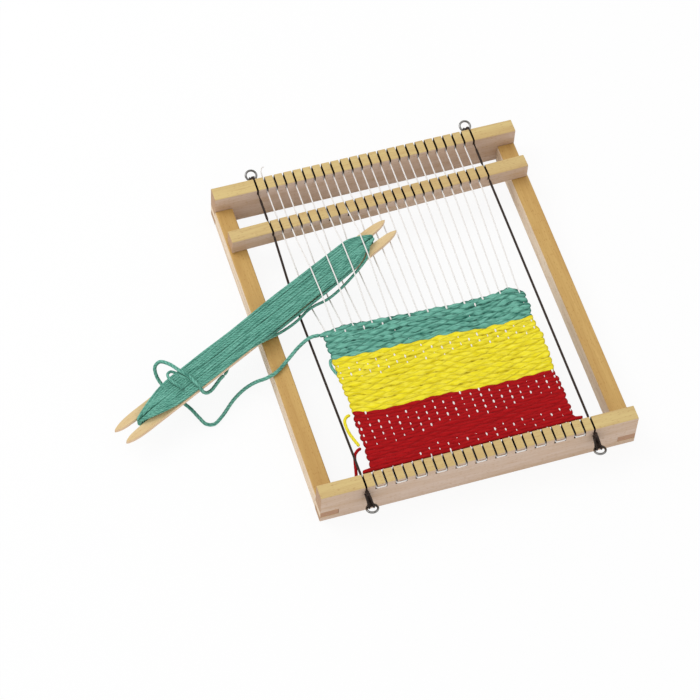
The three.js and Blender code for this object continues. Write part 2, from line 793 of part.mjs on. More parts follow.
// The doubled end of a cord: down from the knot, round the wire of the eye's ring beside the shank, and back
function tieLoop(side, outward, knotCentre) {
  const { centre } = eyePlace(side, outward);
  const along = Math.sqrt(eyeRingRadius * eyeRingRadius - tieOffset * tieOffset);
  const wire = new THREE.Vector3(
    centre.x - tieOffset,
    centre.y - outward * along * Math.cos(eyeTilt),
    centre.z - along * Math.sin(eyeTilt),
  );
  const turn = (eyeWire / 2) * eyeRingRadius / along + runningGap + tieDiameter / 2 + tieSlack;
  const points = [knotCentre.clone().add(new THREE.Vector3(0, -outward * strandSpread, -strandDrop))];
  for (const degrees of [0, 45, 90, 135, 180]) {
    const angle = THREE.MathUtils.degToRad(degrees);
    points.push(new THREE.Vector3(
      wire.x,
      wire.y - outward * turn * Math.cos(angle),
      wire.z - turn * Math.sin(angle),
    ));
  }
  points.push(knotCentre.clone().add(new THREE.Vector3(0, outward * strandSpread, -strandDrop)));
  const section = [tieDiameter / 2, tieDiameter / 2];
  return toSolid(ringTube(points, 8, () => section));
}

addPart('elastic_cord_left', toGeometry(elasticCord(-1)), 'elastic');
addPart('elastic_cord_right', toGeometry(elasticCord(1)), 'elastic');

// Loose yarn: a round section swept along a smooth curve through chosen points
function looseYarn(points, diameter, steps) {
  const section = new THREE.Shape();
  section.absarc(0, 0, diameter / 2, 0, 2 * Math.PI);
  const curve = new THREE.CatmullRomCurve3(points.map(([x, y, z]) => new THREE.Vector3(x, y, z)), false, 'centripetal');
  const yarn = new THREE.ExtrudeGeometry(section, {
    steps,
    extrudePath: curve,
    bevelEnabled: false,
    curveSegments: 4,
  });
  return toGeometry(toSolid(yarn));
}

// Lead from the cloth's corner over the left side rail, along the table, under the shuttle and round it
const leadPoints = [
  [-95.2, 154.6, 34.2],
  [-99.5, 155.6, 33.4],
  [-104.5, 156.0, 31.5],
  [-114.9, 152.1, 28.0],
  [-127.2, 144.5, 23.7],
  [-141.2, 134.7, 23.2],
  [-151.0, 132.8, 21.0],
  [-157.3, 135.6, 15.0],
  [-162.9, 138.1, 8.0],
  [-169.8, 137.9, 2.6],
  [-180.6, 131.0, 1.9],
  [-195.6, 117.0, 1.9],
  [-204.2, 111.6, 1.9],
  [-210.6, 113.7, 1.9],
  [-214.8, 121.6, 2.2],
  [-219.6, 131.6, 3.5],
  [-225.5, 139.6, 5.5],
  [-232.4, 147.2, 8.5],
  [-238.1, 156.0, 12.5],
  [-241.4, 163.8, 18.0],
  [-241.2, 169.4, 24.0],
  [-236.8, 170.0, 29.5],
  [-230.1, 163.6, 33.0],
  [-223.1, 152.1, 36.0],
  [-217.4, 144.9, 36.3],
  [-213.6, 136.7, 36.1],
  [-211.5, 133.5, 34.6],
  [-209.7, 131.7, 30.6],
  [-207.4, 132.1, 24.6],
  [-203.4, 133.9, 19.4],
  [-198.3, 137.4, 17.0],
  [-193.1, 141.4, 18.1],
  [-188.7, 144.5, 19.8],
  [-184.6, 146.8, 20.1],
];
addPart('teal_yarn_lead', looseYarn(leadPoints, leadDiameter, 44), 'teal');

// Yarn tails left hanging at the changes of colour
const yellowTailPoints = [
  [-94.2, 68.4, 34.4],
  [-97.6, 67.6, 34.6],
  [-100.4, 64.4, 34.2],
  [-101.0, 58.9, 33.6],
  [-100.2, 51.6, 33.2],
  [-98.0, 43.4, 33.4],
  [-96.0, 36.6, 33.9],
];
const redTailPoints = [
  [-95.2, 34.2, 34.4],
  [-98.7, 33.5, 32.4],
  [-101.6, 31.0, 30.7],
  [-102.9, 26.9, 29.9],
  [-103.8, 22.9, 29.4],
  [-104.7, 18.8, 28.8],
  [-105.5, 15.0, 27.7],
  [-106.2, 12.0, 25.0],
  [-106.6, 10.6, 21.0],
];
addPart('yellow_yarn_tail', looseYarn(yellowTailPoints, tailDiameter, 8), 'yellow');
addPart('red_yarn_tail', looseYarn(redTailPoints, tailDiameter, 9), 'red');

export default loom;
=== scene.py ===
import math

import bpy
import numpy as np
from mathutils import Matrix, Vector


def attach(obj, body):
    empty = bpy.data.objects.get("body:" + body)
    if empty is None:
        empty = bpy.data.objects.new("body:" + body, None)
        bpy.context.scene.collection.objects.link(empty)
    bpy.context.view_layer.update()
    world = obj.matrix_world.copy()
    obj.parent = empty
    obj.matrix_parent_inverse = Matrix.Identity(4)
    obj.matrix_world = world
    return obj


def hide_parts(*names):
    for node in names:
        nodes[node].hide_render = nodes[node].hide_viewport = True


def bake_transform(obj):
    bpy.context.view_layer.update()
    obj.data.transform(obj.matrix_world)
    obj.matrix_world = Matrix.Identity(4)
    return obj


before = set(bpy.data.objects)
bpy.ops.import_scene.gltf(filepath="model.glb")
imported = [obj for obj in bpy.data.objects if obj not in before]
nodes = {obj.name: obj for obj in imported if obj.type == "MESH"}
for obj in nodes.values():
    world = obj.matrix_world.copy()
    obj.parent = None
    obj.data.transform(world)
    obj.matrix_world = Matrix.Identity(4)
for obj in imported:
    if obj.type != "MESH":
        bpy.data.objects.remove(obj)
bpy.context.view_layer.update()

MM = 0.001

# Sizes and places that the model's source gives, in millimetres
CROSS_RAIL_HEIGHT = 39
SLOT_PITCH = 9
SLOT_COUNT = 24
SLOT_WIDTH = 1.6
FIRST_SLOT = -103.5
FRONT_FACE = -7
RAIL_BACK = 7
REAR_FACE = 331
REAR_RAIL_FRONT = 317
RAIL_SLOT_FLOOR = 32.5
HEDDLE_MIDDLE = 279.25
HEDDLE_THICKNESS = 13.5
HEDDLE_TURN = math.radians(1.67)
HEDDLE_SLOT_FLOOR = 32.8
SHED_REACH = 14
STICK_WIDTH = 24
WINDING_TOP = 8.35
SHUTTLE_CENTRE = np.array([-144.2, 178.3, 30.0])
SHUTTLE_HEADING = math.radians(25.26)
SHUTTLE_TILT = math.radians(-3.3)
RUNNING_GAP = 0.3

# Camera, at the photograph's angle: its lens and sensor in millimetres, its place in metres
CAMERA_LENS = 149.51
CAMERA_SENSOR = 36
CAMERA_PLACE = Vector((-0.56516, -1.16659, 2.17025))
CAMERA_FORWARD = Vector((0.19272, 0.50992, -0.83836))
CAMERA_RIGHT = Vector((0.95309, -0.30052, 0.03631))


def add_object(name, data):
    """An object in the scene, for a mesh, a lamp or the camera."""
    made = bpy.data.objects.new(name, data)
    bpy.context.scene.collection.objects.link(made)
    return made


def add_camera():
    data = bpy.data.cameras.new("camera")
    data.lens = CAMERA_LENS
    data.sensor_width = CAMERA_SENSOR
    camera = add_object("camera", data)
    forward = CAMERA_FORWARD.normalized()
    right = (CAMERA_RIGHT - forward * CAMERA_RIGHT.dot(forward)).normalized()
    turned = Matrix((right, right.cross(forward), -forward)).transposed()
    camera.matrix_world = Matrix.LocRotScale(CAMERA_PLACE, turned, None)
    bpy.context.scene.camera = camera


add_camera()


# Materials

class Signal:
    """A value in a graph of nodes. Sums and products of signals become Math nodes."""

    def __init__(self, graph, socket):
        self.graph = graph
        self.socket = socket

    def maths(self, operation, *values):
        return self.graph.node("ShaderNodeMath", {"operation": operation}, *values)

    def __add__(self, other):
        return self.maths("ADD", self, other)

    def __radd__(self, other):
        return self.maths("ADD", other, self)

    def __sub__(self, other):
        return self.maths("SUBTRACT", self, other)

    def __rsub__(self, other):
        return self.maths("SUBTRACT", other, self)

    def __mul__(self, other):
        return self.maths("MULTIPLY", self, other)

    def __rmul__(self, other):
        return self.maths("MULTIPLY", other, self)

    def __abs__(self):
        return self.maths("ABSOLUTE", self)

    def sine(self):
        return self.maths("SINE", self)


class Graph:
    """The nodes of a material or of the world."""

    def __init__(self, tree):
        self.tree = tree

    def node(self, kind, settings, *values, output=0, inputs=None):
        made = self.tree.nodes.new(kind)
        for key, value in settings.items():
            setattr(made, key, value)
        for key, value in [*enumerate(values), *(inputs or {}).items()]:
            self.feed(made.inputs[key], value)
        return Signal(self, made.outputs[output])

    def feed(self, socket, value):
        if isinstance(value, Signal):
            self.tree.links.new(value.socket, socket)
        else:
            socket.default_value = value


class Finish(Graph):
    """A material with one shader, and the nodes that feed it."""

    def __init__(self, name, settings):
        self.material = bpy.data.materials.new(name)
        self.material.use_nodes = True
        super().__init__(self.material.node_tree)
        self.shader = self.tree.nodes["Principled BSDF"]
        for socket, value in settings.items():
            self.shader.inputs[socket].default_value = value

    def set(self, socket, value):
        self.feed(self.shader.inputs[socket], value)

    def mix(self, share, first, second):
        """The first colour where share is 0, the second where it is 1."""
        return self.node("ShaderNodeMix", {"data_type": "RGBA"}, output=2, inputs={0: share, 6: first, 7: second})

    def stretch(self, value, low, high):
        """0 up to low, 1 from high, and smooth in between."""
        return self.node("ShaderNodeMapRange", {"interpolation_type": "SMOOTHSTEP"}, value, low, high, 0.0, 1.0)

    def noise(self, place, detail=2.0, roughness=0.5):
        inputs = {"Vector": place, "Scale": 1.0, "Detail": detail, "Roughness": roughness}
        return self.node("ShaderNodeTexNoise", {}, inputs=inputs)

    def on_piece(self, *scale):
        """Places on the piece, in metres times the scale along each axis."""
        place = self.node("ShaderNodeTexCoord", {}, output="Object")
        return self.node("ShaderNodeMapping", {}, inputs={"Vector": place, "Scale": scale})

    def on_yarn(self):
        """How far along the yarn a place is, in millimetres, and how far round it, from 0 to 1."""
        strand = self.node("ShaderNodeUVMap", {"uv_map": "strand"})
        return (self.node("ShaderNodeSeparateXYZ", {}, strand, output=axis) for axis in "XY")

    def together(self, x, y, z=0.0):
        return self.node("ShaderNodeCombineXYZ", {}, x, y, z)

    def bump(self, height, distance, strength=1.0):
        inputs = {"Strength": strength, "Distance": distance, "Height": height}
        self.set("Normal", self.node("ShaderNodeBump", {}, inputs=inputs))


def paint(red, green, blue):
    """A colour as the eye sees it, 0 to 255, as the shader takes it."""
    def linear(value):
        share = value / 255
        return share / 12.92 if share <= 0.04045 else ((share + 0.055) / 1.055) ** 2.4
    return linear(red), linear(green), linear(blue), 1.0


# Lengths of the grain's patterns along and across the board, in metres
GROWTH = (0.16, 0.011)
FIBRE = (0.022, 0.0009)
FLECK = (0.0042, 0.0009)
GROWTH_SHARE = 0.42
FIBRE_SHARE = 0.5
FLECK_SHARE = 0.85
PORE_SHARE = 0.4


def beech(name, turn, top, side, end, fleck):
    """Sanded beech whose grain runs along X, turned about Z, with short darker flecks and speckled end grain. Its
    upper faces and sides get their own colours, partly the board's own faces and partly painted light.
    """
    finish = Finish(name, {"Roughness": 0.5, "Specular IOR Level": 0.4})
    place, normal = (finish.node("ShaderNodeTexCoord", {}, output=name) for name in ("Object", "Normal"))

    def grain(along, across):
        inputs = {"Vector": place, "Rotation": (0, 0, turn), "Scale": (along, across, across)}
        return finish.node("ShaderNodeMapping", {"vector_type": "TEXTURE"}, inputs=inputs)

    def cells(output):
        return finish.node("ShaderNodeTexVoronoi", {}, output=output, inputs={"Vector": grain(*FLECK), "Scale": 1.0})

    facing = finish.node("ShaderNodeSeparateXYZ", {}, normal, output="Z")
    axis = (math.cos(turn), math.sin(turn), 0)
    lengthwise = finish.node("ShaderNodeVectorMath", {"operation": "DOT_PRODUCT"}, normal, axis, output="Value")
    endwise = finish.stretch(abs(lengthwise), 0.6, 0.85)
    growth = finish.stretch(finish.noise(grain(*GROWTH), 3.0, 0.55), 0.3, 0.72)
    fibre = finish.noise(grain(*FIBRE), 4.0, 0.65)
    chance = finish.node("ShaderNodeSeparateColor", {}, cells("Color"))
    mark = (1 - finish.stretch(cells("Distance"), 0.12, 0.36)) * finish.stretch(chance, 0.45, 0.75)
    pores = finish.stretch(finish.noise(finish.on_piece(1400, 1400, 1400)), 0.35, 0.65)
    # Tops take the top colour and sides the side colour by the way each face points: partly the board's own faces,
    # partly painted light.
    colour = finish.mix(finish.stretch(facing, 0.35, 0.8), side, top)
    colour = finish.mix(growth * GROWTH_SHARE, colour, fleck)
    colour = finish.mix(finish.stretch(fibre, 0.42, 0.8) * FIBRE_SHARE, colour, fleck)
    colour = finish.mix(mark * FLECK_SHARE, colour, fleck)
    ends = finish.mix(pores * PORE_SHARE, end, fleck)
    finish.set("Base Color", finish.mix(endwise, colour, ends))
    finish.set("Roughness", 0.46 + 0.16 * fibre)
    finish.bump(fibre * 0.6 + (1 - mark) * 0.4, 0.00009, 0.6)
    return finish.material


def slot_shade(name):
    """Painted shade for the walls and floor of a narrow slot: near-black brown, with faint streaks along the cut."""
    finish = Finish(name, {"Roughness": 0.85, "Specular IOR Level": 0.1})
    strokes = finish.noise(finish.on_piece(300, 90, 1500))
    # Both colours are painted shade, the dark of a deep, narrow cut.
    finish.set("Base Color", finish.mix(strokes, paint(18, 12, 8), paint(52, 37, 24)))
    finish.bump(strokes, 0.00006, 0.5)
    return finish.material


def wool(name, light, furrow_shade_and_streak, tint, streak_share):
    """Soft spun wool: streaks of fibre that slant round the yarn, and painted shade that darkens the furrows."""
    finish = Finish(name, {"Roughness": 0.95, "Specular IOR Level": 0.1, "Sheen Weight": 0.04, "Sheen Roughness": 0.5})
    along, around = finish.on_yarn()
    depth = finish.node("ShaderNodeAttribute", {"attribute_name": "depth"}, output="Fac")
    slanted = along * 0.13 + around * 1.6
    fibre = finish.noise(finish.together(slanted, around * 9, along * 0.03), 3.0, 0.65)
    streaks = finish.noise(finish.together(along * 0.07, around * 4.5), 2.0, 0.55)
    # Painted shade: the furrow colour where the depth attribute is low, the light colour on the crests.
    colour = finish.mix(finish.stretch(depth, 0.15, 0.95), furrow_shade_and_streak, light)
    colour = finish.mix(finish.stretch(fibre, 0.4, 0.72) * 0.7, colour, tint)
    colour = finish.mix(finish.stretch(streaks, 0.46, 0.74) * streak_share, colour, furrow_shade_and_streak)
    finish.set("Base Color", colour)
    finish.bump(fibre, 0.0008)
    return finish.material


WARP_TWIST = 1.6
BRAID_PITCH = 2.2
BRAID_THREADS = 5


def cotton(name):
    """Smooth white warp thread, with its twist and painted shade in the twist's grooves."""
    finish = Finish(name, {"Roughness": 0.8, "Specular IOR Level": 0.2, "Sheen Weight": 0.1})
    along, around = finish.on_yarn()
    ply = (along * (2 * math.pi / WARP_TWIST) + around * (4 * math.pi)).sine()
    lint_and_glints = finish.noise(finish.together(along * 0.8, around * 9), 3.0)
    # Painted shade: greyer in the grooves between the plies, near white on their crests.
    colour = finish.mix(finish.stretch(ply, -1.0, 0.2), paint(222, 217, 213), paint(252, 250, 248))
    finish.set("Base Color", finish.mix(lint_and_glints * 0.3, colour, paint(232, 227, 222)))
    finish.bump(ply * 0.5 + lint_and_glints * 0.5, 0.00012)
    return finish.material


def braid(name):
    """Dark braided cover over elastic: two sets of threads that cross on the slant, with lighter grey patches that are
    painted highlights.
    """
    finish = Finish(name, {"Roughness": 0.6, "Specular IOR Level": 0.3})
    along, around = finish.on_yarn()
    along = along * (2 * math.pi / BRAID_PITCH)
    around = around * (2 * math.pi * BRAID_THREADS)
    threads = (along + around).sine() * (along - around).sine()
    lint_and_glints = finish.stretch(finish.noise(finish.together(along * 1.5, around * 1.5)), 0.6, 0.85)
    colour = finish.mix(finish.stretch(threads, -0.1, 0.6), paint(28, 18, 12), paint(72, 52, 40))
    # The lighter grey patches are painted highlights.
    finish.set("Base Color", finish.mix(lint_and_glints * 0.5, colour, paint(134, 118, 106)))
    finish.bump(threads, 0.00018)
    return finish.material


def plated_steel(name):
    """Bright plated wire, a little scuffed."""
    finish = Finish(name, {"Metallic": 1.0})
    scuffs = finish.noise(finish.on_piece(900, 900, 900), 3.0)
    film = finish.stretch(finish.noise(finish.on_piece(250, 250, 250), 1.0), 0.35, 0.7)
    finish.set("Base Color", finish.mix(film, paint(142, 141, 139), paint(104, 102, 99)))
    finish.set("Roughness", 0.16 + 0.2 * scuffs)
    finish.bump(scuffs, 0.00004, 0.5)
    return finish.material


# Each wood: the colour of its upper faces, of its sides, of its end grain and of its flecks. Tops and sides differ
# partly as the board's own faces and partly as painted light: the sides are lighter to make up for the light they
# miss.
beech_top = beech(
    "beech_top", 0.0, paint(214, 190, 128), paint(211, 188, 171), paint(172, 132, 96), paint(178, 138, 86),
)
beech_heddle = beech(
    "beech_heddle", HEDDLE_TURN, paint(210, 184, 124), paint(206, 183, 166), paint(176, 134, 92), paint(176, 136, 86),
)
beech_side = beech(
    "beech_side", math.pi / 2, paint(205, 167, 98), paint(239, 220, 195), paint(174, 134, 110), paint(172, 124, 60),
)
shuttle_wood = beech(
    "shuttle_wood", SHUTTLE_HEADING,
    paint(224, 200, 152), paint(236, 208, 180), paint(190, 146, 100), paint(200, 160, 104),
)
painted_slot_shade = slot_shade("painted_slot_shade")
# Each wool: its colour on the crests, its painted shade for the furrows (also the colour of its streaks), its fibres'
# tint and its streaks' share
teal_wool = wool("teal_wool", paint(110, 178, 158), paint(30, 94, 80), paint(140, 204, 186), 0.72)
yellow_wool = wool("yellow_wool", paint(246, 230, 40), paint(206, 184, 14), paint(252, 240, 96), 0.5)
red_wool = wool("red_wool", paint(173, 14, 20), paint(126, 8, 12), paint(186, 26, 30), 0.35)
warp_cotton = cotton("warp_cotton")
elastic_braid = braid("elastic_braid")
eye_steel = plated_steel("eye_steel")


# Making and placing pieces

SHARP_EDGE = math.radians(60)
SMOOTHED_EDGE = math.radians(50)


def take_up(piece):
    """Make one piece the only selected and active object."""
    bpy.ops.object.select_all(action="DESELECT")
    piece.select_set(True)
    bpy.context.view_layer.objects.active = piece


def settle(piece, material, body, replaced):
    """Give a piece its material, its body if it rides on only one and the CAD nodes it stands for."""
    piece.data.materials.clear()
    piece.data.materials.append(material)
    if body:
        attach(piece, body)
    if replaced:
        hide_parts(*replaced)


def build_mesh(name, vertices, faces, strand, depth):
    """A mesh in millimetres, with its UV map along and round the yarn and its depth attribute."""
    mesh = bpy.data.meshes.new(name)
    mesh.from_pydata((vertices * MM).tolist(), [], faces)
    layer = mesh.uv_layers.new(name="strand")
    layer.data.foreach_set("uv", strand.reshape(-1).astype(np.float32))
    attribute = mesh.attributes.new("depth", "FLOAT", "POINT")
    attribute.data.foreach_set("value", depth.astype(np.float32))
    mesh.polygons.foreach_set("use_smooth", [True] * len(mesh.polygons))
    mesh.update()
    return add_object(name, mesh)


# Paths

def through(points, per_span=12):
    """A smooth centripetal curve through chosen points, as the CAD's loose yarns follow."""
    points = np.array(points, float)
    extended = np.vstack([2 * points[0] - points[1], points, 2 * points[-1] - points[-2]])
    path = []
    for p0, p1, p2, p3 in zip(extended, extended[1:], extended[2:], extended[3:]):
        d0, d1, d2 = (np.linalg.norm(b - a) ** 0.5 for a, b in ((p0, p1), (p1, p2), (p2, p3)))
        start = ((p1 - p0) / d0 - (p2 - p0) / (d0 + d1) + (p2 - p1) / d1) * d1
        end = ((p2 - p1) / d1 - (p3 - p1) / (d1 + d2) + (p3 - p2) / d2) * d1
        for step in range(per_span):
            t = step / per_span
            path.append(
                (2 * t**3 - 3 * t**2 + 1) * p1 + (t**3 - 2 * t**2 + t) * start
                + (3 * t**2 - 2 * t**3) * p2 + (t**3 - t**2) * end
            )
    path.append(points[-1])
    return np.array(path)


def rounded(corners, radius, count=5):
    """A path of straight runs whose corners are arcs."""
    corners = [np.array(corner, float) for corner in corners]
    path = [corners[0]]
    for before, corner, after in zip(corners, corners[1:], corners[2:]):
        back, onward = before - corner, after - corner
        back_length, onward_length = np.linalg.norm(back), np.linalg.norm(onward)
        back, onward = back / back_length, onward / onward_length
        half = math.acos(max(-1, min(1, back @ onward))) / 2
        if half > math.radians(89.5):
            path.append(corner)
            continue
        reach = min(radius / math.tan(half), 0.48 * back_length, 0.48 * onward_length)
        bend = reach * math.tan(half)
        middle = (back + onward) / np.linalg.norm(back + onward)
        centre = corner + middle * bend / math.sin(half)
        first, last = corner + back * reach - centre, corner + onward * reach - centre
        sweep = math.pi - 2 * half
        for step in range(count + 1):
            t = step / count
            path.append(centre + (math.sin((1 - t) * sweep) * first + math.sin(t * sweep) * last) / math.sin(sweep))
    path.append(corners[-1])
    return np.array(path)


def between(start, end, share):
    return start + (end - start) * share


def distances(path):
    """How far along a path each of its points lies."""
    return np.concatenate([[0], np.cumsum(np.linalg.norm(np.diff(path, axis=0), axis=1))])


def evened(path, step):
    """The same path with points a fixed step apart."""
    along = distances(path)
    places = np.linspace(0, along[-1], max(2, int(round(along[-1] / step)) + 1))
    return np.stack([np.interp(places, along, path[:, axis]) for axis in range(3)], 1)


def cell_corners(grid):
    """The values at the four corners of every cell of a grid, round the cell."""
    return np.stack([grid[:-1, :-1], grid[:-1, 1:], grid[1:, 1:], grid[1:, :-1]], 2)


# How far the depth attribute falls from a ply's crest to the middle of its slope, where the wool is darkened as
# painted shade between the plies
PLY_SHADE = 0.28


class Strands:
    """Yarns, threads and cords gathered into one mesh."""

    def __init__(self):
        self.vertices, self.faces, self.strand, self.depth = [], [], [], []
        self.count = 0

    def add(self, path, radius, sides=12, lobes=0, relief=0.0, pitch=9.0, flatten=None, ends="round"):
        """A tube along a path. Lobes are the plies, which turn once in every pitch."""
        path = np.array(path)
        tangents = np.gradient(path, axis=0)
        tangents /= np.linalg.norm(tangents, axis=1)[:, None]
        along = distances(path)
        normals = np.empty_like(path)
        normal = np.array([1.0, 0, 0]) if abs(tangents[0][0]) < 0.9 else np.array([0, 0, 1.0])
        for i, tangent in enumerate(tangents):
            normal = normal - tangent * (normal @ tangent)
            normal /= np.linalg.norm(normal)
            normals[i] = normal
        binormals = np.cross(tangents, normals)
        angles = 2 * np.pi * np.arange(sides) / sides
        ply = np.cos(lobes * (angles - 2 * np.pi * along[:, None] / pitch)) * bool(lobes)
        size = radius * (1 + relief * ply)
        if ends == "round":
            reach = radius * 0.9
            near = np.minimum(along, along[-1] - along)
            size = size * np.sqrt(np.clip(1 - (1 - np.clip(near / reach, 0.02, 1)) ** 2, 0, 1))[:, None]
        wide, high = (np.ones(len(path)), np.ones(len(path))) if flatten is None else flatten
        ring = (
            path[:, None, :]
            + normals[:, None, :] * (size * np.cos(angles) * wide[:, None])[:, :, None]
            + binormals[:, None, :] * (size * np.sin(angles) * high[:, None])[:, :, None]
        )
        index = self.count + np.arange(len(path) * sides).reshape(len(path), sides)
        turns = np.meshgrid(along, np.arange(sides + 1) / sides, indexing="ij")
        self.vertices.append(ring.reshape(-1, 3))
        self.faces.extend(cell_corners(np.column_stack([index, index[:, 0]])).reshape(-1, 4).tolist())
        self.strand.extend(cell_corners(np.stack(turns, 2)).reshape(-1, 2).tolist())
        self.depth.append((1 - PLY_SHADE * (1 - ply)).reshape(-1))
        for cap, at in ((index[0][::-1], 0.0), (index[-1], along[-1])):
            self.faces.append(cap.tolist())
            self.strand.extend([[at, 0.5]] * sides)
        self.count += index.size

    def piece(self, name):
        vertices, depth = np.vstack(self.vertices), np.concatenate(self.depth)
        return build_mesh(name, vertices, self.faces, np.array(self.strand), depth)


def shuttle_axes():
    heading, tilt = SHUTTLE_HEADING, SHUTTLE_TILT
    along = np.array([math.cos(tilt) * math.cos(heading), math.cos(tilt) * math.sin(heading), -math.sin(tilt)])
    across = np.array([-math.sin(heading), math.cos(heading), 0])
    return along, across, np.cross(along, across)


ALONG, ACROSS, UP = shuttle_axes()


def shuttle_height(x, y, h):
    """Height of the plane h above the stick's middle plane, over the point (x, y)."""
    lean = UP[0] * (x - SHUTTLE_CENTRE[0]) + UP[1] * (y - SHUTTLE_CENTRE[1])
    return SHUTTLE_CENTRE[2] + (h - lean) / UP[2]


def shuttle_crossing(x, w):
    """Where the line x = constant crosses the line w = constant of the shuttle."""
    return SHUTTLE_CENTRE[1] + (w - ACROSS[0] * (x - SHUTTLE_CENTRE[0])) / ACROSS[1]


def slot_x(slot):
    return FIRST_SLOT + (slot - 1) * SLOT_PITCH


def heddle_middle(x):
    """The middle of the heddle bar's thickness, which is turned a little."""
    return HEDDLE_MIDDLE + x * math.tan(HEDDLE_TURN)


# Free yarns, on the routes of the model's source
LEAD_POINTS = [
    (-95.2, 154.6, 34.2), (-99.5, 155.6, 33.4), (-104.5, 156.0, 31.5), (-114.9, 152.1, 28.0),
    (-127.2, 144.5, 23.7), (-141.2, 134.7, 23.2), (-151.0, 132.8, 21.0), (-157.3, 135.6, 15.0),
    (-162.9, 138.1, 8.0), (-169.8, 137.9, 2.6), (-180.6, 131.0, 1.9), (-195.6, 117.0, 1.9),
    (-204.2, 111.6, 1.9), (-210.6, 113.7, 1.9), (-214.8, 121.6, 2.2), (-219.6, 131.6, 3.5),
    (-225.5, 139.6, 5.5), (-232.4, 147.2, 8.5), (-238.1, 156.0, 12.5), (-241.4, 163.8, 18.0),
    (-241.2, 169.4, 24.0), (-236.8, 170.0, 29.5), (-230.1, 163.6, 33.0), (-223.1, 152.1, 36.0),
    (-217.4, 144.9, 36.3), (-213.6, 136.7, 36.1), (-211.5, 133.5, 34.6), (-209.7, 131.7, 30.6),
    (-207.4, 132.1, 24.6), (-203.4, 133.9, 19.4), (-198.3, 137.4, 17.0), (-193.1, 141.4, 18.1),
    (-188.7, 144.5, 19.8), (-184.6, 146.8, 20.1),
]
YELLOW_TAIL_POINTS = [
    (-94.2, 68.4, 34.4), (-97.6, 67.6, 34.6), (-100.4, 64.4, 34.2), (-101.0, 58.9, 33.6),
    (-100.2, 51.6, 33.2), (-98.0, 43.4, 33.4), (-96.0, 36.6, 33.9),
]
RED_TAIL_POINTS = [
    (-95.2, 34.2, 34.4), (-98.7, 33.5, 32.4), (-101.6, 31.0, 30.7), (-102.9, 26.9, 29.9), (-103.8, 22.9, 29.4),
    (-104.7, 18.8, 28.8), (-105.5, 15.0, 27.7), (-106.2, 12.0, 25.0), (-106.6, 10.6, 21.0),
]


def free_yarn(name, points, diameter):
    path = through(points)
    yarn = Strands()
    yarn.add(evened(path, 0.8), diameter / 2, sides=14, lobes=3, relief=0.035, pitch=12)
    piece = yarn.piece(name)
    return piece


lead = free_yarn("lead_yarn", LEAD_POINTS, 3.2)
settle(lead, teal_wool, None, ["teal_yarn_lead"])
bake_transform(lead)
yellow_tail = free_yarn("yellow_tail", YELLOW_TAIL_POINTS, 2.8)
settle(yellow_tail, yellow_wool, "root", ["yellow_yarn_tail"])
red_tail = free_yarn("red_tail", RED_TAIL_POINTS, 2.8)
settle(red_tail, red_wool, "root", ["red_yarn_tail"])


# Wooden parts: the CAD shape with its sharp edges eased by sanding

def sanded(node, name, eased):
    piece = add_object(name, nodes[node].data.copy())
    take_up(piece)
    bpy.ops.object.mode_set(mode="EDIT")
    bpy.ops.mesh.select_all(action="SELECT")
    bpy.ops.mesh.remove_doubles(threshold=2e-6)
    bpy.ops.mesh.dissolve_limited(angle_limit=math.radians(1))
    bpy.ops.mesh.select_all(action="DESELECT")
    bpy.ops.mesh.select_mode(type="EDGE")
    bpy.ops.mesh.edges_select_sharp(sharpness=SHARP_EDGE)
    bpy.ops.mesh.bevel(offset=eased * MM, segments=2, affect="EDGES", clamp_overlap=True)
    bpy.ops.object.mode_set(mode="OBJECT")
    bpy.ops.object.shade_smooth_by_angle(angle=SMOOTHED_EDGE)
    weighted = piece.modifiers.new("even_faces", "WEIGHTED_NORMAL")
    weighted.keep_sharp = True
    weighted.weight = 100
    bpy.ops.object.modifier_apply(modifier=weighted.name)
    return piece


def darken_slots(piece, floor, turn, middle):
    """Give the walls and floor of every slot the painted slot shade."""
    piece.data.materials.append(painted_slot_shade)
    for face in piece.data.polygons:
        spot = np.array(face.center) / MM
        along = spot[0] * math.cos(turn) + (spot[1] - middle) * math.sin(turn)
        off = (along - FIRST_SLOT + SLOT_PITCH / 2) % SLOT_PITCH - SLOT_PITCH / 2
        within = abs(off) < SLOT_WIDTH / 2 + 0.1 and abs(along) < -FIRST_SLOT + 2
        if within and floor - 0.1 < spot[2] and (face.normal.z < 0.5 or spot[2] < floor + 0.1):
            face.material_index = 1


for node, name, material, body, slot, eased in (
    ("front_rail", "front_rail_wood", beech_top, "root", "beech_top", 0.35),
    ("rear_rail", "rear_rail_wood", beech_top, "root", "beech_top", 0.35),
    ("left_side_rail", "left_rail_wood", beech_side, "root", "beech_side", 0.35),
    ("right_side_rail", "right_rail_wood", beech_side, "root", "beech_side", 0.35),
    ("heddle_bar", "heddle_wood", beech_heddle, "heddle", "beech_heddle", 0.35),
    ("shuttle_stick", "stick_wood", shuttle_wood, "shuttle", "shuttle_wood", 0.6),
):
    piece = sanded(node, name, eased)
    settle(piece, material, body, [node])
    if slot == "beech_top":
        darken_slots(piece, RAIL_SLOT_FLOOR, 0, 0)
    if slot == "beech_heddle":
        darken_slots(piece, HEDDLE_SLOT_FLOOR, HEDDLE_TURN, HEDDLE_MIDDLE)


# Screw eyes: one bent wire, with a thread on its shank

EYE_WIRE = 2.0
EYE_RING_RADIUS = 4.9
EYE_NECK = 1.6
EYE_OPENING = math.radians(328)
EYE_SHANK_END = 22.9
# The point's three steps: how long each is, and how much of the wire's thickness is left after it
EYE_POINT = ((2.2, 0.72), (1.3, 0.5), (0.5, 0.3))
THREAD_START = 4.4
THREAD_TURNS = 8
THREAD_LENGTH = 9.5
THREAD_RADIUS = 0.26
EYE_TILT = math.radians(15)
# The middle of the ring, out from the rail's face and sideways from the slot's line
EYE_REACH_FRONT = 12.4
EYE_REACH_REAR = 15.4
EYE_SIDEWAYS = 2


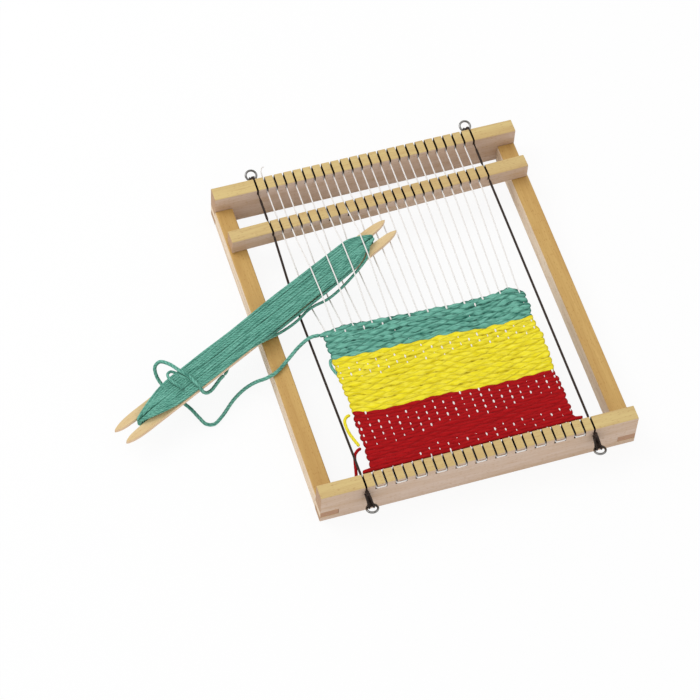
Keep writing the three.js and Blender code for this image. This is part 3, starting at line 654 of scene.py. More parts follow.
def wire_end(lean):
    """The wire's cut end, at the free end of the ring: a filled disc that faces along the ring."""
    angle = -math.pi / 2 + lean + EYE_OPENING
    place = (EYE_RING_RADIUS * math.cos(angle) * MM, EYE_RING_RADIUS * math.sin(angle) * MM, 0)
    bpy.ops.mesh.primitive_circle_add(
        vertices=16, radius=EYE_WIRE / 2 * MM, fill_type="NGON", location=place,
        rotation=(math.pi / 2, 0, angle),
    )
    bpy.ops.object.transform_apply(location=True, rotation=True, scale=True)
    return bpy.context.object


def draw_out(length):
    """Draw the wire's open end out along the shank."""
    bpy.ops.mesh.extrude_region_move(TRANSFORM_OT_translate={"value": (0, -length * MM, 0)})


def bent_wire():
    """Ring, neck and shank of an eye: ring round the origin, shank along -Y with a point."""
    lean = math.asin(EYE_NECK / (EYE_RING_RADIUS + EYE_NECK))
    wire = wire_end(lean)
    bpy.ops.object.mode_set(mode="EDIT")
    bpy.ops.mesh.select_all(action="SELECT")
    bpy.ops.mesh.spin(steps=56, angle=EYE_OPENING, center=(0, 0, 0), axis=(0, 0, 1))
    neck_y = -math.sqrt((EYE_RING_RADIUS + EYE_NECK) ** 2 - EYE_NECK**2)
    bpy.ops.mesh.spin(
        steps=8, angle=-(math.pi / 2 - lean), center=(EYE_NECK * MM, neck_y * MM, 0), axis=(0, 0, 1),
    )
    draw_out(EYE_SHANK_END - sum(length for length, _ in EYE_POINT) + neck_y)
    for length, scale in EYE_POINT:
        draw_out(length)
        bpy.ops.transform.resize(value=(scale, 1, scale))
    bpy.ops.mesh.select_all(action="SELECT")
    bpy.ops.mesh.normals_make_consistent(inside=False)
    bpy.ops.object.mode_set(mode="OBJECT")
    return wire


def eye_thread():
    """The ridge that winds up the shank, by the Screw modifier from a small round section."""
    bpy.ops.mesh.primitive_circle_add(vertices=6, radius=THREAD_RADIUS * MM)
    ridge = bpy.context.object
    bpy.ops.object.mode_set(mode="EDIT")
    bpy.ops.transform.translate(value=(EYE_WIRE / 2 * MM, (THREAD_START - EYE_SHANK_END) * MM, 0))
    bpy.ops.object.mode_set(mode="OBJECT")
    winding_up = ridge.modifiers.new("winding_up", "SCREW")
    winding_up.axis = "Y"
    winding_up.angle = 2 * math.pi * THREAD_TURNS
    winding_up.screw_offset = THREAD_LENGTH * MM
    winding_up.steps = winding_up.render_steps = 18 * THREAD_TURNS
    bpy.ops.object.modifier_apply(modifier=winding_up.name)
    bpy.ops.object.mode_set(mode="EDIT")
    bpy.ops.mesh.select_all(action="SELECT")
    bpy.ops.mesh.fill_holes(sides=6)
    bpy.ops.mesh.normals_make_consistent(inside=False)
    bpy.ops.object.mode_set(mode="OBJECT")
    return ridge


def screw_eye():
    """One eye with its ring round the origin. The four eyes are copies of it."""
    wire, ridge = bent_wire(), eye_thread()
    take_up(wire)
    ridge.select_set(True)
    bpy.ops.object.join()
    bpy.ops.object.shade_smooth_by_angle(angle=SMOOTHED_EDGE)
    return wire


def eye_middle(side, outward):
    """The middle of an eye's ring."""
    face, reach = (FRONT_FACE, EYE_REACH_FRONT) if outward < 0 else (REAR_FACE, EYE_REACH_REAR)
    return np.array([
        side * -FIRST_SLOT + EYE_SIDEWAYS, face + outward * reach * math.cos(EYE_TILT),
        CROSS_RAIL_HEIGHT / 2 + reach * math.sin(EYE_TILT),
    ])


def screw_in(pattern, name, side, outward, node):
    """Put a copy of the eye in its rail."""
    eye = add_object(name, pattern.data.copy())
    take_up(eye)
    eye.location = eye_middle(side, outward) * MM
    eye.rotation_euler = (EYE_TILT, 0, math.pi if outward < 0 else 0)
    bpy.ops.object.transform_apply(location=True, rotation=True, scale=True)
    settle(eye, eye_steel, "root", [node])


first_eye = screw_eye()
for side, side_name in ((-1, "left"), (1, "right")):
    for outward, rail_name in ((-1, "front"), (1, "rear")):
        screw_in(first_eye, f"eye_{rail_name}_{side_name}", side, outward, f"screw_eye_{rail_name}_{side_name}")
bpy.data.objects.remove(first_eye)


# Elastic cords, pinched flat in the slots, knotted and looped through the eyes

ELASTIC_RADIUS = 1.1
PINCHED_HALF_HEIGHT = 1.6
PINCHED_NARROWING = 0.54
PINCHED_HEIGHTENING = 0.33
# The middle of the cord runs this far below the running gap under the shuttle
UNDER_SHUTTLE = 1.35
# How far past the middle of the heddle bar's slot each length runs
OVERRUN = 0.8
# A distance in front of the heddle bar, worked out into a place for each front length but not used
HEDDLE_HOLD = 62
KNOT_OUTSIDE = 2.9
KNOT_DROP = 0.5
KNOT_SIZE = 0.62
KNOT_RADIUS = 1.05
TIE_RADIUS = 0.75
# Where the strands of a tie lie across the eye's ring, and across the knot
TIE_LOOPS = ((-1.9, -2.0), (2.2, 1.4))
TIE_OVER_NECK = ((-0.5, -0.9), (0.9, 0.3))
# Their way over the ring's wire, outward from it and up
TIE_HOOK = ((-3.0, 2.1), (0, 2.1), (1.7, 1.1), (2.1, -0.6))


def knot_path(centre, scale):
    """A trefoil knot."""
    angles = np.linspace(0, 2 * np.pi, 90)
    shape = np.stack([
        -np.sin(3 * angles) * 1.1,
        np.sin(angles) + 2 * np.sin(2 * angles),
        np.cos(angles) - 2 * np.cos(2 * angles),
    ], 1)
    return centre + shape * scale


def tied_end(cord, x, height, side, outward):
    """The knot outside a rail, and the strands from it round the wire of the eye, beside and over its neck."""
    knot = np.array([x, (FRONT_FACE if outward < 0 else REAR_FACE) + outward * KNOT_OUTSIDE, height - KNOT_DROP])
    cord.add(evened(knot_path(knot, KNOT_SIZE), 0.5), KNOT_RADIUS, sides=10, ends="open")

    def nearest_wire(offset):
        """A place on the ring's side towards the rail, at an offset sideways, and its reach from the ring's middle."""
        near = math.sqrt(EYE_RING_RADIUS**2 - offset**2)
        across = np.array([offset, -outward * near * math.cos(EYE_TILT), -near * math.sin(EYE_TILT)])
        return eye_middle(side, outward) + across, near

    def tie(points):
        cord.add(evened(through(points), 0.6), TIE_RADIUS, sides=12)

    for offset, start in TIE_LOOPS:
        wire, near = nearest_wire(offset)
        turn = EYE_WIRE / 2 * EYE_RING_RADIUS / near + RUNNING_GAP + TIE_RADIUS + 0.45
        loop = [
            wire + np.array([0, -outward * turn * math.cos(angle), -turn * math.sin(angle)])
            for angle in np.radians((0, 45, 90, 135, 180))
        ]
        inner, outer = (knot + np.array([start, out * 0.8, -0.6]) for out in (-outward, outward))
        tie([inner, *loop, outer])
    for offset, start in TIE_OVER_NECK:
        wire, _ = nearest_wire(offset)
        hook = [wire + np.array([0, outward * out, up]) for out, up in TIE_HOOK]
        tie([knot + np.array([start, outward * 0.6, 0.2]), *hook])


def elastic(side, name, node):
    """A cord from eye to eye, pinched in the slots. It is in two lengths that meet in the heddle bar's slot."""
    x = slot_x(1 if side < 0 else SLOT_COUNT)
    in_rail, in_heddle = (
        floor + RUNNING_GAP + PINCHED_HALF_HEIGHT for floor in (RAIL_SLOT_FLOOR, HEDDLE_SLOT_FLOOR)
    )
    heddle_y = heddle_middle(x)
    half = HEDDLE_THICKNESS / 2
    skew = half * math.sin(HEDDLE_TURN)
    # Each station: its place, and 1 where the cord is pinched
    stations = [
        (x, REAR_FACE + KNOT_OUTSIDE, in_rail, 1),
        (x, REAR_RAIL_FRONT - 6, in_rail, 1), (x, REAR_RAIL_FRONT - 8, in_rail, 0),
        (x - skew, heddle_y + half + 4.5, in_heddle, 0), (x - skew, heddle_y + half + 2, in_heddle, 1),
        (x + skew, heddle_y - half - 1.5, in_heddle, 1), (x + skew, heddle_y - half - 4, in_heddle, 0),
    ]
    if side < 0:
        for across in (1, -1):
            y = shuttle_crossing(x, across * STICK_WIDTH / 2)
            stations.append((x, y, shuttle_height(x, y, -(WINDING_TOP + RUNNING_GAP + UNDER_SHUTTLE)), 0))
    stations += [
        (x, RAIL_BACK + 3, in_rail, 0), (x, RAIL_BACK + 0.3, in_rail, 1), (x, FRONT_FACE - KNOT_OUTSIDE, in_rail, 1),
    ]
    stations = np.array(stations)
    route = evened(rounded(stations[:, :3], 8), 0.7)
    pinch = np.interp(-route[:, 1], -stations[:, 1], stations[:, 3])
    for outward, end_name, bodies, bent_y in (
        (-1, "front", ("root", "heddle"), (heddle_y - HEDDLE_HOLD, heddle_y)),
        (1, "rear", ("heddle", "root"), (heddle_y, REAR_FACE)),
    ):
        kept = (route[:, 1] - heddle_y) * outward > -OVERRUN
        flatten = (1 - PINCHED_NARROWING * pinch[kept], 1 + PINCHED_HEIGHTENING * pinch[kept])
        cord = Strands()
        cord.add(route[kept], ELASTIC_RADIUS, sides=12, flatten=flatten)
        tied_end(cord, x, in_rail, side, outward)
        piece = cord.piece(f"{name}_{end_name}")
        settle(piece, elastic_braid, None, [node])
        start, end = ((x * MM, y * MM, in_rail * MM) for y in bent_y)
        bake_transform(piece)


elastic(-1, "elastic_left", "elastic_cord_left")
elastic(1, "elastic_right", "elastic_cord_right")


# Cloth: three bands of thick weft that hide the warp but for small dots

CLOTH_MIDDLE = 33.95
WOVEN_SHARE = 0.945
CLOTH_END_SHARE = 0.975
DRAWN_IN_Y = 35.0
CLOTH_TOP_Y = 158.5
CLOTH_END_Y = 8.0
# The edges across the cloth, as X and Y, from the far one to the near one, and both selvedges, as Y and X
BOUNDARIES = (
    (
        (-92, 155.3), (-80, 157.4), (-71, 158.6), (-50, 156.5), (-13, 154.6), (25, 152.5), (62, 152.5), (74, 153.5),
        (80, 157.0), (85, 155.0), (90, 151), (94, 146),
    ),
    ((-92, 127.0), (-54, 125.3), (-17, 124.8), (11, 124.2), (42, 121.8), (72, 120.9), (92, 122.2)),
    ((-91, 71.0), (-73, 66.5), (-50, 65.9), (-13, 66.6), (18, 63.7), (59, 62.8), (92, 63.9)),
    ((-93, 9.6), (92, 9.3)),
)
SELVEDGES = (
    ((157, -91.7), (127, -92.3), (70, -91.0), (9.6, -92.8)),
    ((150, 92.6), (130, 93.0), (126, 90.8), (103, 94.0), (88, 92.0), (83, 94.4), (64, 90.4), (46, 92.2), (9.4, 91.6)),
)
# For the teal, yellow and red band: rows, how far the yarn rises and sinks, how far the rows wander, ply relief
BAND_ROWS = (9, 17, 18)
BAND_SWELL = (0.34, 0.26, 0.14)
BAND_DRIFT = (0.27, 0.2, 0.08)
BAND_PLY = (0.3, 0.18, 0.05)
CREST_HALF_HEIGHT = 1.35
CROSSING_HALF_HEIGHT = 1.45
CREST_HALF_WIDTH = 0.9
CROSSING_HALF_WIDTH = 0.66
CREST_POWER = 1.3
PLY_PITCH = 15
# How much the yarn draws back where a warp shows beside it, and how suddenly
GAP_NARROWING = 0.18
GAP_SHARPNESS = 13
# Lower than any yarn, and the height that such places get in the end
BELOW_ALL = -9.0
BETWEEN_ROWS = -0.25
# Each row's yarn starts this much further along its streaks than the row before
ROW_SHIFT = 37.3
ACROSS_COUNT = 254
POINTS_PER_ROW = 9
# How far the first row sticks out at the left, and the last one at the left and right
FIRST_ROW_REACH = 2.4
LAST_ROW_REACH = (7.0, 6.0)
SELVEDGE_ROUNDING = 1.9


def eased_line(shape, at):
    """A line through chosen places with its corners eased."""
    places, values = zip(*shape)
    return sum(np.interp(at + shift, places, values) for shift in (-6, -3, 0, 3, 6)) / 5


def row_y(band, x, place):
    """The Y of a place in a band, which counts its rows from its far edge."""
    far, near = (eased_line(BOUNDARIES[edge], np.asarray(x, float)) for edge in (band, band + 1))
    return between(far, near, place / BAND_ROWS[band])


def scatter(a, b):
    """A number from 0 to 1 that looks random but is always the same for a pair of whole numbers."""
    value = np.sin(a * 127.1 + b * 311.7) * 43758.5453
    return value - np.floor(value)


def warp_share(y):
    """The warp's distance from the middle, as a share of its slot's, where the cloth draws it in."""
    low = between(CLOTH_END_SHARE, WOVEN_SHARE, (y - CLOTH_END_Y) / (DRAWN_IN_Y - CLOTH_END_Y))
    return np.where(y >= DRAWN_IN_Y, WOVEN_SHARE, low)


def showing(warp, row):
    """How far the warp shows between the weft rows: most in the first rows of the red and near the rail."""
    warp, row = np.asarray(warp, float), np.asarray(row, float)
    chance = scatter(warp, row)
    off = warp - 12
    yellow_row, red_row = row - BAND_ROWS[0], row - BAND_ROWS[0] - BAND_ROWS[1]
    red_top = np.exp(-((red_row - 4.9 + off * 0.1) / (4.3 - off * 0.07)) ** 8) * (red_row > 0.5)
    red_end = 0.9 * np.exp(-((red_row - 15.2 + off * 0.12) / 1.9) ** 8) * (warp > 6) * (red_row > 8)
    seam = 1.2 * (np.abs(red_row) < 0.6) * (scatter(warp, 5.0) > 0.45)
    yellow = 0.8 * np.exp(-((yellow_row - 3.1 + off * 0.1) / 2.6) ** 8) * (red_row < 0) * (yellow_row > 0)
    teal = (row < 1) + 0.8 * (row == 1) * (chance > 0.75)
    amount = np.maximum.reduce([red_top, red_end, seam, yellow, teal])
    return np.clip(amount * (0.58 + 0.5 * chance), 0, 1)


def over_or_under(x, y, row):
    """How far the weft of a row is over (1) or under (-1) the warps at a place."""
    warp = (x / warp_share(y) - FIRST_SLOT) / SLOT_PITCH + 1
    return np.cos(np.pi * (warp + row)), warp


def weft_surface(x, y, place, band, face):
    """Height of the cloth's upper (face 1) or lower (face -1) surface, its row, and where on the yarn that is."""
    rows, first_row, swell = BAND_ROWS[band], sum(BAND_ROWS[:band]), BAND_SWELL[band]
    best, which, side = np.full(x.shape, BELOW_ALL), np.zeros(x.shape), np.zeros(x.shape)
    for shift in (-1, 0, 1):
        row = np.clip(np.floor(place), 0, rows - 1) + shift
        real = (row >= 0) & (row <= rows - 1)
        over, warp = over_or_under(x, y, row + first_row)
        over = over * face
        crest = np.abs(over) ** CREST_POWER
        drift = np.sin(x / 17.7 + row * 2.1) + 0.7 * np.sin(x / 8.9 + row * 4.7) + 0.3 * np.sin(x / 4.9 - row * 3.3)
        drift = BAND_DRIFT[band] * drift * (row > 0) * (row < rows - 1)
        offset = place - row - 0.5 - drift
        beyond = np.where(offset < 0, row - 1, row + 1) + first_row
        gap = showing(np.round(warp), beyond) * np.clip(over, 0, 1) ** GAP_SHARPNESS if face > 0 else 0.0
        width = between(CROSSING_HALF_WIDTH, CREST_HALF_WIDTH, crest) - GAP_NARROWING * gap
        width = width * (1 + 0.1 * np.sin(x * 0.13 + row * 2.4))
        height = between(CROSSING_HALF_HEIGHT, CREST_HALF_HEIGHT, crest)
        uneven = 0.22 * np.sin(x * 0.11 + row * 1.9) + 0.15 * np.sin(x * 0.27 + row * 3.1)
        level = swell * (over + uneven * 2.2)
        share = offset / width
        inside = (np.abs(share) < 1) & real
        top = np.where(inside, level + height * np.sqrt(np.clip(1 - share**2, 0, 1)), BELOW_ALL)
        better = top > best
        best = np.where(better, top, best)
        which = np.where(better, row, which)
        side = np.where(better, share, side)
    return best, which, side


def selvedge_x(side, y, turns):
    """The edge of the cloth, with a bulge where the weft turns back and a last row that reaches further."""
    bulge = np.abs(np.sin(np.pi * turns / 2)) ** 0.7 + 0.3 * np.sin(turns * 1.3 + side) + 0.25 * np.sin(turns * 0.47)
    out = -1 if side == 0 else 1
    return eased_line(sorted(SELVEDGES[side]), y) + out * (1.5 * bulge - 0.5)


def outer_rows(x, y, place, band):
    """Places in a band, moved so that its first and last half rows run out to the edge of their own yarn."""
    rows, first_row = BAND_ROWS[band], sum(BAND_ROWS[:band])
    for row, sign in ((0, -1), (rows - 1, 1)):
        over, _ = over_or_under(x, y, row + first_row)
        width = between(CROSSING_HALF_WIDTH, CREST_HALF_WIDTH, np.abs(over) ** CREST_POWER)
        width = 0.5 if band == 2 and row else width * (1 + 0.09 * np.sin(x * 0.17 + row * 2.4))
        outward = (row + 0.5 - place) * -sign * 2
        moved = row + 0.5 + sign * width * np.sin(np.clip(outward, 0, 1) * np.pi / 2)
        place = np.where(outward > 0, moved, place)
    return place


def finished_surface(x, y, place, band, face, rounding):
    """The yarns of one face with their plies' relief, closed at the band's edges and rounded at the selvedges."""
    rows, first_row, swell = BAND_ROWS[band], sum(BAND_ROWS[:band]), BAND_SWELL[band]
    height, row, side = weft_surface(x, y, place, band, face)
    over, _ = over_or_under(x, y, np.clip(np.floor(place), 0, rows - 1) + first_row)
    height = np.where(height < BELOW_ALL / 2, BETWEEN_ROWS, height)
    height[0], height[-1] = face * swell * over[0], face * swell * over[-1]
    turned = x / PLY_PITCH + 0.4 * np.sin(x / 23 + row * 1.7) + side * 0.85 + row * 0.31
    ply = BAND_PLY[band] * np.cos(2 * np.pi * turned) * np.sqrt(np.clip(1 - side**2, 0, 1))
    return (height + ply * (height > 0)) * rounding, row, side


def woven_band(name, band):
    """One band of the cloth as a closed sheet, with every row's yarn in its relief."""
    rows, first_row = BAND_ROWS[band], sum(BAND_ROWS[:band])
    near_edge = 0.022 * np.linspace(0.05, 0.9, 6) ** 1.6
    spread = np.sort(np.concatenate([np.linspace(0, 1, ACROSS_COUNT), near_edge, 1 - near_edge]))
    place, spread = np.meshgrid(np.arange(rows * POINTS_PER_ROW + 1) / POINTS_PER_ROW, spread, indexing="ij")
    middle_y = row_y(band, np.zeros(place.shape), place)
    x_left = selvedge_x(0, middle_y, place + first_row + 1)
    x_right = selvedge_x(1, middle_y, place + first_row)
    if band == 0:
        x_left = x_left - FIRST_ROW_REACH * np.clip((1.3 - place) / 0.5, 0, 1) ** 2
    if band == 2:
        reach = np.clip((place - rows + 1.3) / 0.5, 0, 1) ** 2
        x_left = x_left - LAST_ROW_REACH[0] * reach
        x_right = x_right + LAST_ROW_REACH[1] * reach
    x = between(x_left, x_right, spread)
    place = outer_rows(x, row_y(band, x, place), place, band)
    y = row_y(band, x, place)
    edge = np.minimum(x - x_left, x_right - x)
    rounding = np.sqrt(np.clip(1 - (1 - np.clip(edge / SELVEDGE_ROUNDING, 0, 1)) ** 2, 0, 1))
    surfaces = [finished_surface(x, y, place, band, face, rounding) for face in (1, -1)]
    rim = np.ones(x.shape, bool)
    rim[1:-1, 1:-1] = False
    upper = np.arange(x.size).reshape(x.shape)
    lower = upper.copy()
    lower[~rim] = x.size + np.arange((~rim).sum())
    top = np.stack([x, y, CLOTH_MIDDLE + surfaces[0][0]], 2).reshape(-1, 3)
    under = np.stack([x, y, CLOTH_MIDDLE - surfaces[1][0]], 2)[~rim]
    # The depth attribute: 1 on the yarns' crests, 0 in the furrows, where the wool paints its shade.
    levels = [np.clip((np.abs(height) - 0.3) / 1.5, 0, 1) for height, _, _ in surfaces]
    depth = np.concatenate([levels[0].reshape(-1), levels[1][~rim]])
    faces, coordinates = [], []
    for index, (_, row, side), order in ((upper, surfaces[0], (0, 3, 2, 1)), (lower, surfaces[1], (1, 2, 3, 0))):
        uv = np.stack([x + row * ROW_SHIFT, 0.25 + 0.25 * side + (row % 2) * 0.5], 2)
        faces.append(cell_corners(index)[:, :, order].reshape(-1, 4))
        coordinates.append(cell_corners(uv)[:, :, order].reshape(-1, 2))
    return build_mesh(name, np.vstack([top, under]), np.vstack(faces).tolist(), np.vstack(coordinates), depth)


# Teal yarn carried down the cloth's left edge
CARRIED_POINTS = (
    (-92.6, 128.5, 33.6), (-94.4, 125.6, 33.7), (-94.9, 121.4, 33.4), (-93.9, 116.6, 33.2), (-92.4, 112.2, 33.4),
    (-91.0, 108.0, 33.7),
)

carried = Strands()
carried.add(evened(through(CARRIED_POINTS), 0.8), 1.35, sides=12, lobes=3, relief=0.035, pitch=12)
carried_yarn = carried.piece("carried_yarn")
settle(carried_yarn, teal_wool, "root", [])
for band, (colour, material) in enumerate((("teal", teal_wool), ("yellow", yellow_wool), ("red", red_wool))):
    cloth = woven_band(f"{colour}_weft", band)
    settle(cloth, material, "root", [f"{colour}_cloth"])
    upper_edge, lower_edge = BOUNDARIES[band], BOUNDARIES[band + 1]
    flat = (upper_edge[-1][0] - upper_edge[0][0]) * MM, (upper_edge[0][1] - lower_edge[0][1]) * MM


# Warp: one thread up and down through slots 2 to 23, looped outside both rails

WARP_DIAMETER = 1.25
# The radius that the model's source gives, from which the thread's places follow
WARP_RADIUS = 0.45
WARPS_OVER = (3, 5, 7, 9)
WARPS_UNDER = (2, 4, 6, 8, 10)
WARP_REAR_HEIGHT = 33.5
WARP_FRONT_HEIGHT = 34.2
# The loops outside the rails: their height at the front, and their corners, sideways and out from a slot
LOOP_FRONT_HEIGHT = RAIL_SLOT_FLOOR + 2.5 + WARP_RADIUS
LOOP_CORNER = ((0, 0.25), (0.85, 0.75))
# The thread's first end: X, how far out from the rear rail, and how far above the warp
WARP_TAIL = ((-91, 9.5, 6.5), (-93.5, 9, 6.5), (-95, 6, 5), (-94.5, 0.5, 0.2))
# The thread is pressed wider and higher where it shows between the rows
SHOWN_WIDENING = 0.7
SHOWN_HEIGHTENING = 0.3


def warp_line(y):
    """The warp's height where nothing lifts or presses it."""
    return between(WARP_REAR_HEIGHT, WARP_FRONT_HEIGHT, (REAR_RAIL_FRONT - y) / (REAR_RAIL_FRONT - RAIL_BACK))


def warp_in_cloth(warp):
    """The warp's waves between the weft rows, from the far end of the cloth to the near one."""
    points = []
    row = 0
    for band, rows in enumerate(BAND_ROWS):
        for step in range(rows):
            x = slot_x(warp) * WOVEN_SHARE
            for _ in range(2):
                y = row_y(band, x, step + 0.5)
                x = slot_x(warp) * float(warp_share(y))
            over = math.cos(math.pi * (warp + row)) < 0
            lift = 0.1 + 1.4 * float(showing(warp, row)) if over else -0.6
            points.append((x, float(y), CLOTH_MIDDLE + lift))
            row += 1
    return points


def warp_run(warp):
    """One warp from the rear rail to the front rail, over or under the shuttle and through the cloth."""
    x = slot_x(warp)
    heddle_y = heddle_middle(x)
    front_y = heddle_y - HEDDLE_THICKNESS / 2 - SHED_REACH
    points = [(x, REAR_RAIL_FRONT, WARP_REAR_HEIGHT)]
    crossing = []
    if warp in WARPS_OVER + WARPS_UNDER:
        side = 1 if warp in WARPS_OVER else -1
        reach = WINDING_TOP + RUNNING_GAP + WARP_RADIUS
        shed_y = HEDDLE_MIDDLE - HEDDLE_THICKNESS / 2 - SHED_REACH
        for across in (1, 0, -1):
            y = shuttle_crossing(x, across * STICK_WIDTH / 2)
            share = between(WOVEN_SHARE, 1, (y - CLOTH_TOP_Y) / (shed_y - CLOTH_TOP_Y))
            crossing.append((x * share, y, shuttle_height(x, y, side * reach)))
    front_z = warp_line(front_y)
    if warp in WARPS_OVER:
        back_y = heddle_y + HEDDLE_THICKNESS / 2 + 1
        points.append((x, back_y, warp_line(back_y)))
        share = (back_y - front_y) / (back_y - crossing[0][1])
        front_z = between(warp_line(back_y), crossing[0][2], share)
    points.append((x, front_y, front_z))
    points += crossing
    points.append((x * WOVEN_SHARE, CLOTH_TOP_Y, warp_line(CLOTH_TOP_Y)))
    points += warp_in_cloth(warp)
    points.append((x * CLOTH_END_SHARE, CLOTH_END_Y, warp_line(CLOTH_END_Y)))
    points.append((x, RAIL_BACK, WARP_FRONT_HEIGHT))
    return points


def loop_corner(warp, outward, towards):
    """The corner that a loop outside a rail makes at one of its two slots."""
    face, height = (FRONT_FACE, LOOP_FRONT_HEIGHT) if outward < 0 else (REAR_FACE, WARP_REAR_HEIGHT)
    return [(slot_x(warp) + towards * sideways, face + outward * out, height) for sideways, out in LOOP_CORNER]


def warp_thread():
    """The whole thread: every even warp runs to the front rail, and every odd one back to the rear rail."""
    path = [(x, REAR_FACE + out, WARP_REAR_HEIGHT + up) for x, out, up in WARP_TAIL]
    for warp in range(2, SLOT_COUNT):
        start = 1 if warp % 2 == 0 else -1
        if warp > 2:
            path += loop_corner(warp, start, -1)[::-1]
        path += warp_run(warp)[::start]
        if warp < SLOT_COUNT - 1:
            path += loop_corner(warp, -start, 1)
    path.append((slot_x(SLOT_COUNT - 1), REAR_FACE + 3, WARP_REAR_HEIGHT))
    return rounded(path, 1.2, 3)


thread = Strands()
route = evened(warp_thread(), 0.9)
raised = np.clip(route[:, 2] - CLOTH_MIDDLE - 0.6, 0, 1) * (route[:, 1] < CLOTH_TOP_Y) * (route[:, 1] > CLOTH_END_Y)
thread.add(route, WARP_DIAMETER / 2, sides=7, flatten=(1 + SHOWN_WIDENING * raised, 1 + SHOWN_HEIGHTENING * raised))
settle(thread.piece("warp_thread"), warp_cotton, "root", ["warp_yarn"])


# Yarn wound lengthwise on the shuttle, through its notches. Each layer has its number of loops,
# their pitch, the first loop's distance from the middle, and its height above the stick's middle

WOUND_LAYERS = ((6, 3.6, 1.75, 3.75), (12, 2.2, 1.1, 6.6))
WOUND_RADIUS = 1.3
RUN_STEPS = 60
# Where the innermost loop passes through the notches, from the stick's middle, and the step to each next one
FIRST_COLUMN = 117
COLUMN_PITCH = 2.6
NOTCH_OFFSET = 1.4
NOTCH_DROP = 0.3
# Where the yarn begins to draw in to the notch, which is late on the far side of the right end
TAPER_START = 90
LATE_TAPER_START = 112
# The runs under the stick lie closer together, and further to one side
UNDERSIDE_SHARE = 0.8
UNDERSIDE_SHIFT = 2.0
# Loose runs, in the stick's own frame: a run that has slipped down beside the stick's near edge
EDGE_RUN = (
    (124, -4.5, 6.0), (116, -9.6, 5.0), (104, -12.6, 4.4), (84, -13.5, 3.8), (60, -13.8, 3.3), (34, -13.7, 2.9),
    (10, -13.5, 2.4), (-8, -12.9, 3.6), (-22, -10.8, 4.4),
)
# A slack loop beyond it
SLACK_LOOP = (
    (131, -1.6, 1.5), (126, -6.5, 2.5), (119.4, -11.6, 2.6), (102.4, -15.1, 0), (82.5, -17.4, -2), (66.6, -17.2, -3),
    (53.9, -14.4, -3), (45.1, -13.8, -3), (36.6, -15.1, -3), (25.3, -15.4, -3.2), (11.9, -13.6, -4), (2, -10.4, -5.4),
    (-10, -7, -7),
)
# The curl of the yarn's end
END_CURL = (
    (-80, -4, 7.5), (-82.5, 3, 8.2), (-84.1, 8.3, 7.2), (-84.6, 12.8, 6.2), (-86.9, 17.2, 5.8), (-90.4, 17.0, 6.6),
    (-93.3, 12.4, 8.6), (-93.6, 7.4, 9.6), (-92.6, 0.6, 9.8), (-91.3, -5, 9.6),
)
# The join of the free yarn to the winding, under the stick
LEAD_JOIN = ((-50.5, -11.25, -7.0), (-47, -10.2, -7.0), (-42, -7, -6.9), (-36, -3, -6.8))


def winding_loops():
    """The loops in their order: place across the stick, place in the notches, height, and rank in the layer."""
    loops = []
    ranks_below = 0
    for layer, (count, pitch, first, height) in enumerate(WOUND_LAYERS):
        for turn in range(count):
            order = turn if layer == 0 else count - 1 - turn
            place = order - (count - 1) / 2
            rank = abs(place) - 0.5
            column = FIRST_COLUMN + (ranks_below + rank) * COLUMN_PITCH
            loops.append((math.copysign(first + rank * pitch, place), column, height, rank))
        ranks_below += count / 2
    return loops


def winding_run(loop, side, towards, after=None):
    """One run of the stick's length, above (side 1) or below it (-1), drawn in to the notches at both ends."""
    (first_w, first_column, first_height, rank), (last_w, last_column, last_height, _) = loop, after or loop
    points = []
    for step in range(RUN_STEPS + 1):
        share = step / RUN_STEPS
        change = share * share * (3 - 2 * share) if after else 0
        s = between(-towards * first_column, towards * last_column, share)
        w = between(first_w, last_w, change)
        height = between(first_height, last_height, change)
        placed = w if side > 0 else w * UNDERSIDE_SHARE + UNDERSIDE_SHIFT
        column = first_column if share < 0.5 else last_column
        start = LATE_TAPER_START if s > 0 and w > 0 else TAPER_START
        drawn = math.sin(math.pi / 2 * min(1, max(0, (column - abs(s)) / (column - start))))
        in_notch = math.copysign(NOTCH_OFFSET, w)
        points.append((s, between(in_notch, placed, drawn), side * (height - NOTCH_DROP * rank * (1 - drawn))))
    return points


def winding_path():
    """The wound yarn's whole way, which starts a little inside the left notch."""
    loops = winding_loops()
    path = winding_run(loops[0], 1, 1)[6:]
    for loop, after in zip(loops, loops[1:]):
        path += winding_run(loop, -1, -1, after)
        path += winding_run(after, 1, 1)
    return rounded(path, 1.6, 3)


def wandering(path):
    """The runs of a hand-wound yarn are never quite straight."""
    along = distances(path)
    free = np.clip((100 - np.abs(path[:, 0])) / 40, 0, 1)
    moved = path.copy()
    moved[:, 1] += (0.4 * np.sin(along / 31 + 1) + 0.2 * np.sin(along / 11.7)) * free
    moved[:, 2] += np.sign(path[:, 2]) * (0.22 * np.sin(along / 19) + 0.12 * np.sin(along / 7.1 + 2)) * free
    return moved


winding = Strands()
loose_runs = [evened(through(run), step) for run, step in (
    (EDGE_RUN, 1.0), (SLACK_LOOP, 1.0), (END_CURL, 0.8), (LEAD_JOIN, 1.0),
)]
for course in (wandering(evened(winding_path(), 1.35)), *loose_runs):
    placed = SHUTTLE_CENTRE + course @ np.stack([ALONG, ACROSS, UP])
    winding.add(placed, WOUND_RADIUS, sides=9, lobes=3, relief=0.03, pitch=12)
settle(winding.piece("wound_yarn"), teal_wool, "shuttle", ["shuttle_winding"])


# Floor, light and world

FLOOR_SIZE = 8
FLOOR_DROP = 0.0004
FLOOR_WHITE = 0.9
SKY_STRENGTH = 0.8
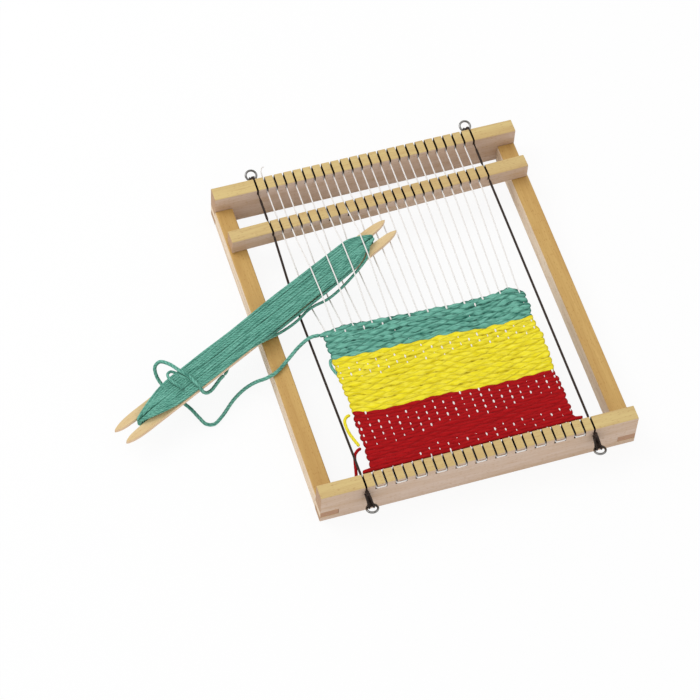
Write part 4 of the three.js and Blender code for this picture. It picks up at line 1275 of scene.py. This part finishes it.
# Each lamp: its name, power, size and place, in metres. All of them face the loom's middle
LAMPS = (("window", 20, 1.4, (-1.3, 1.2, 1.9)), ("front_panel", 5, 1.6, (-0.4, -2.2, 0.9)))
LIT_PLACE = Vector((0, 0.15, 0))


def seen_directly(graph):
    """1 where the camera looks, also by a reflection or through something clear, and 0 for the light that falls."""
    rays = [
        graph.node("ShaderNodeLightPath", {}, output=name)
        for name in ("Is Camera Ray", "Is Glossy Ray", "Is Transmission Ray")
    ]
    return graph.node("ShaderNodeMath", {"operation": "MINIMUM"}, rays[0] + rays[1] + rays[2], 1.0)


def white_to_the_eye(finish):
    """The floor looks almost white, and keeps a light shadow."""
    white = finish.node("ShaderNodeEmission", {}, inputs={"Strength": 1.0})
    plain = Signal(finish, finish.shader.outputs[0])
    mixed = finish.node("ShaderNodeMixShader", {}, seen_directly(finish) * FLOOR_WHITE, plain, white)
    finish.feed(finish.tree.nodes["Material Output"].inputs["Surface"], mixed)


def set_stage():
    bpy.ops.object.select_all(action="DESELECT")
    bpy.ops.mesh.primitive_plane_add(size=FLOOR_SIZE, location=(0, 0, -FLOOR_DROP))
    floor = bpy.context.object
    floor.name = "floor"
    bpy.ops.object.transform_apply(location=True, rotation=True, scale=True)
    finish = Finish("floor_paper", {"Roughness": 0.9, "Specular IOR Level": 0.1})
    finish.set("Base Color", (0.9, 0.9, 0.9, 1))
    white_to_the_eye(finish)
    floor.data.materials.append(finish.material)
    world = bpy.data.worlds.new("studio")
    bpy.context.scene.world = world
    world.use_nodes = True
    sky = Graph(world.node_tree)
    background = sky.tree.nodes["Background"]
    sky.feed(background.inputs["Color"], (1.0, 1.0, 1.0, 1))
    sky.feed(background.inputs["Strength"], SKY_STRENGTH + (1 - SKY_STRENGTH) * seen_directly(sky))
    for name, energy, size, place in LAMPS:
        lamp = bpy.data.lights.new(name, "AREA")
        lamp.energy = energy
        lamp.size = size
        light = add_object(name, lamp)
        light.location = place
        light.rotation_euler = (LIT_PLACE - light.location).to_track_quat("-Z", "Y").to_euler()
    bpy.context.scene.view_settings.view_transform = "Standard"


set_stage()

bpy.context.view_layer.update()
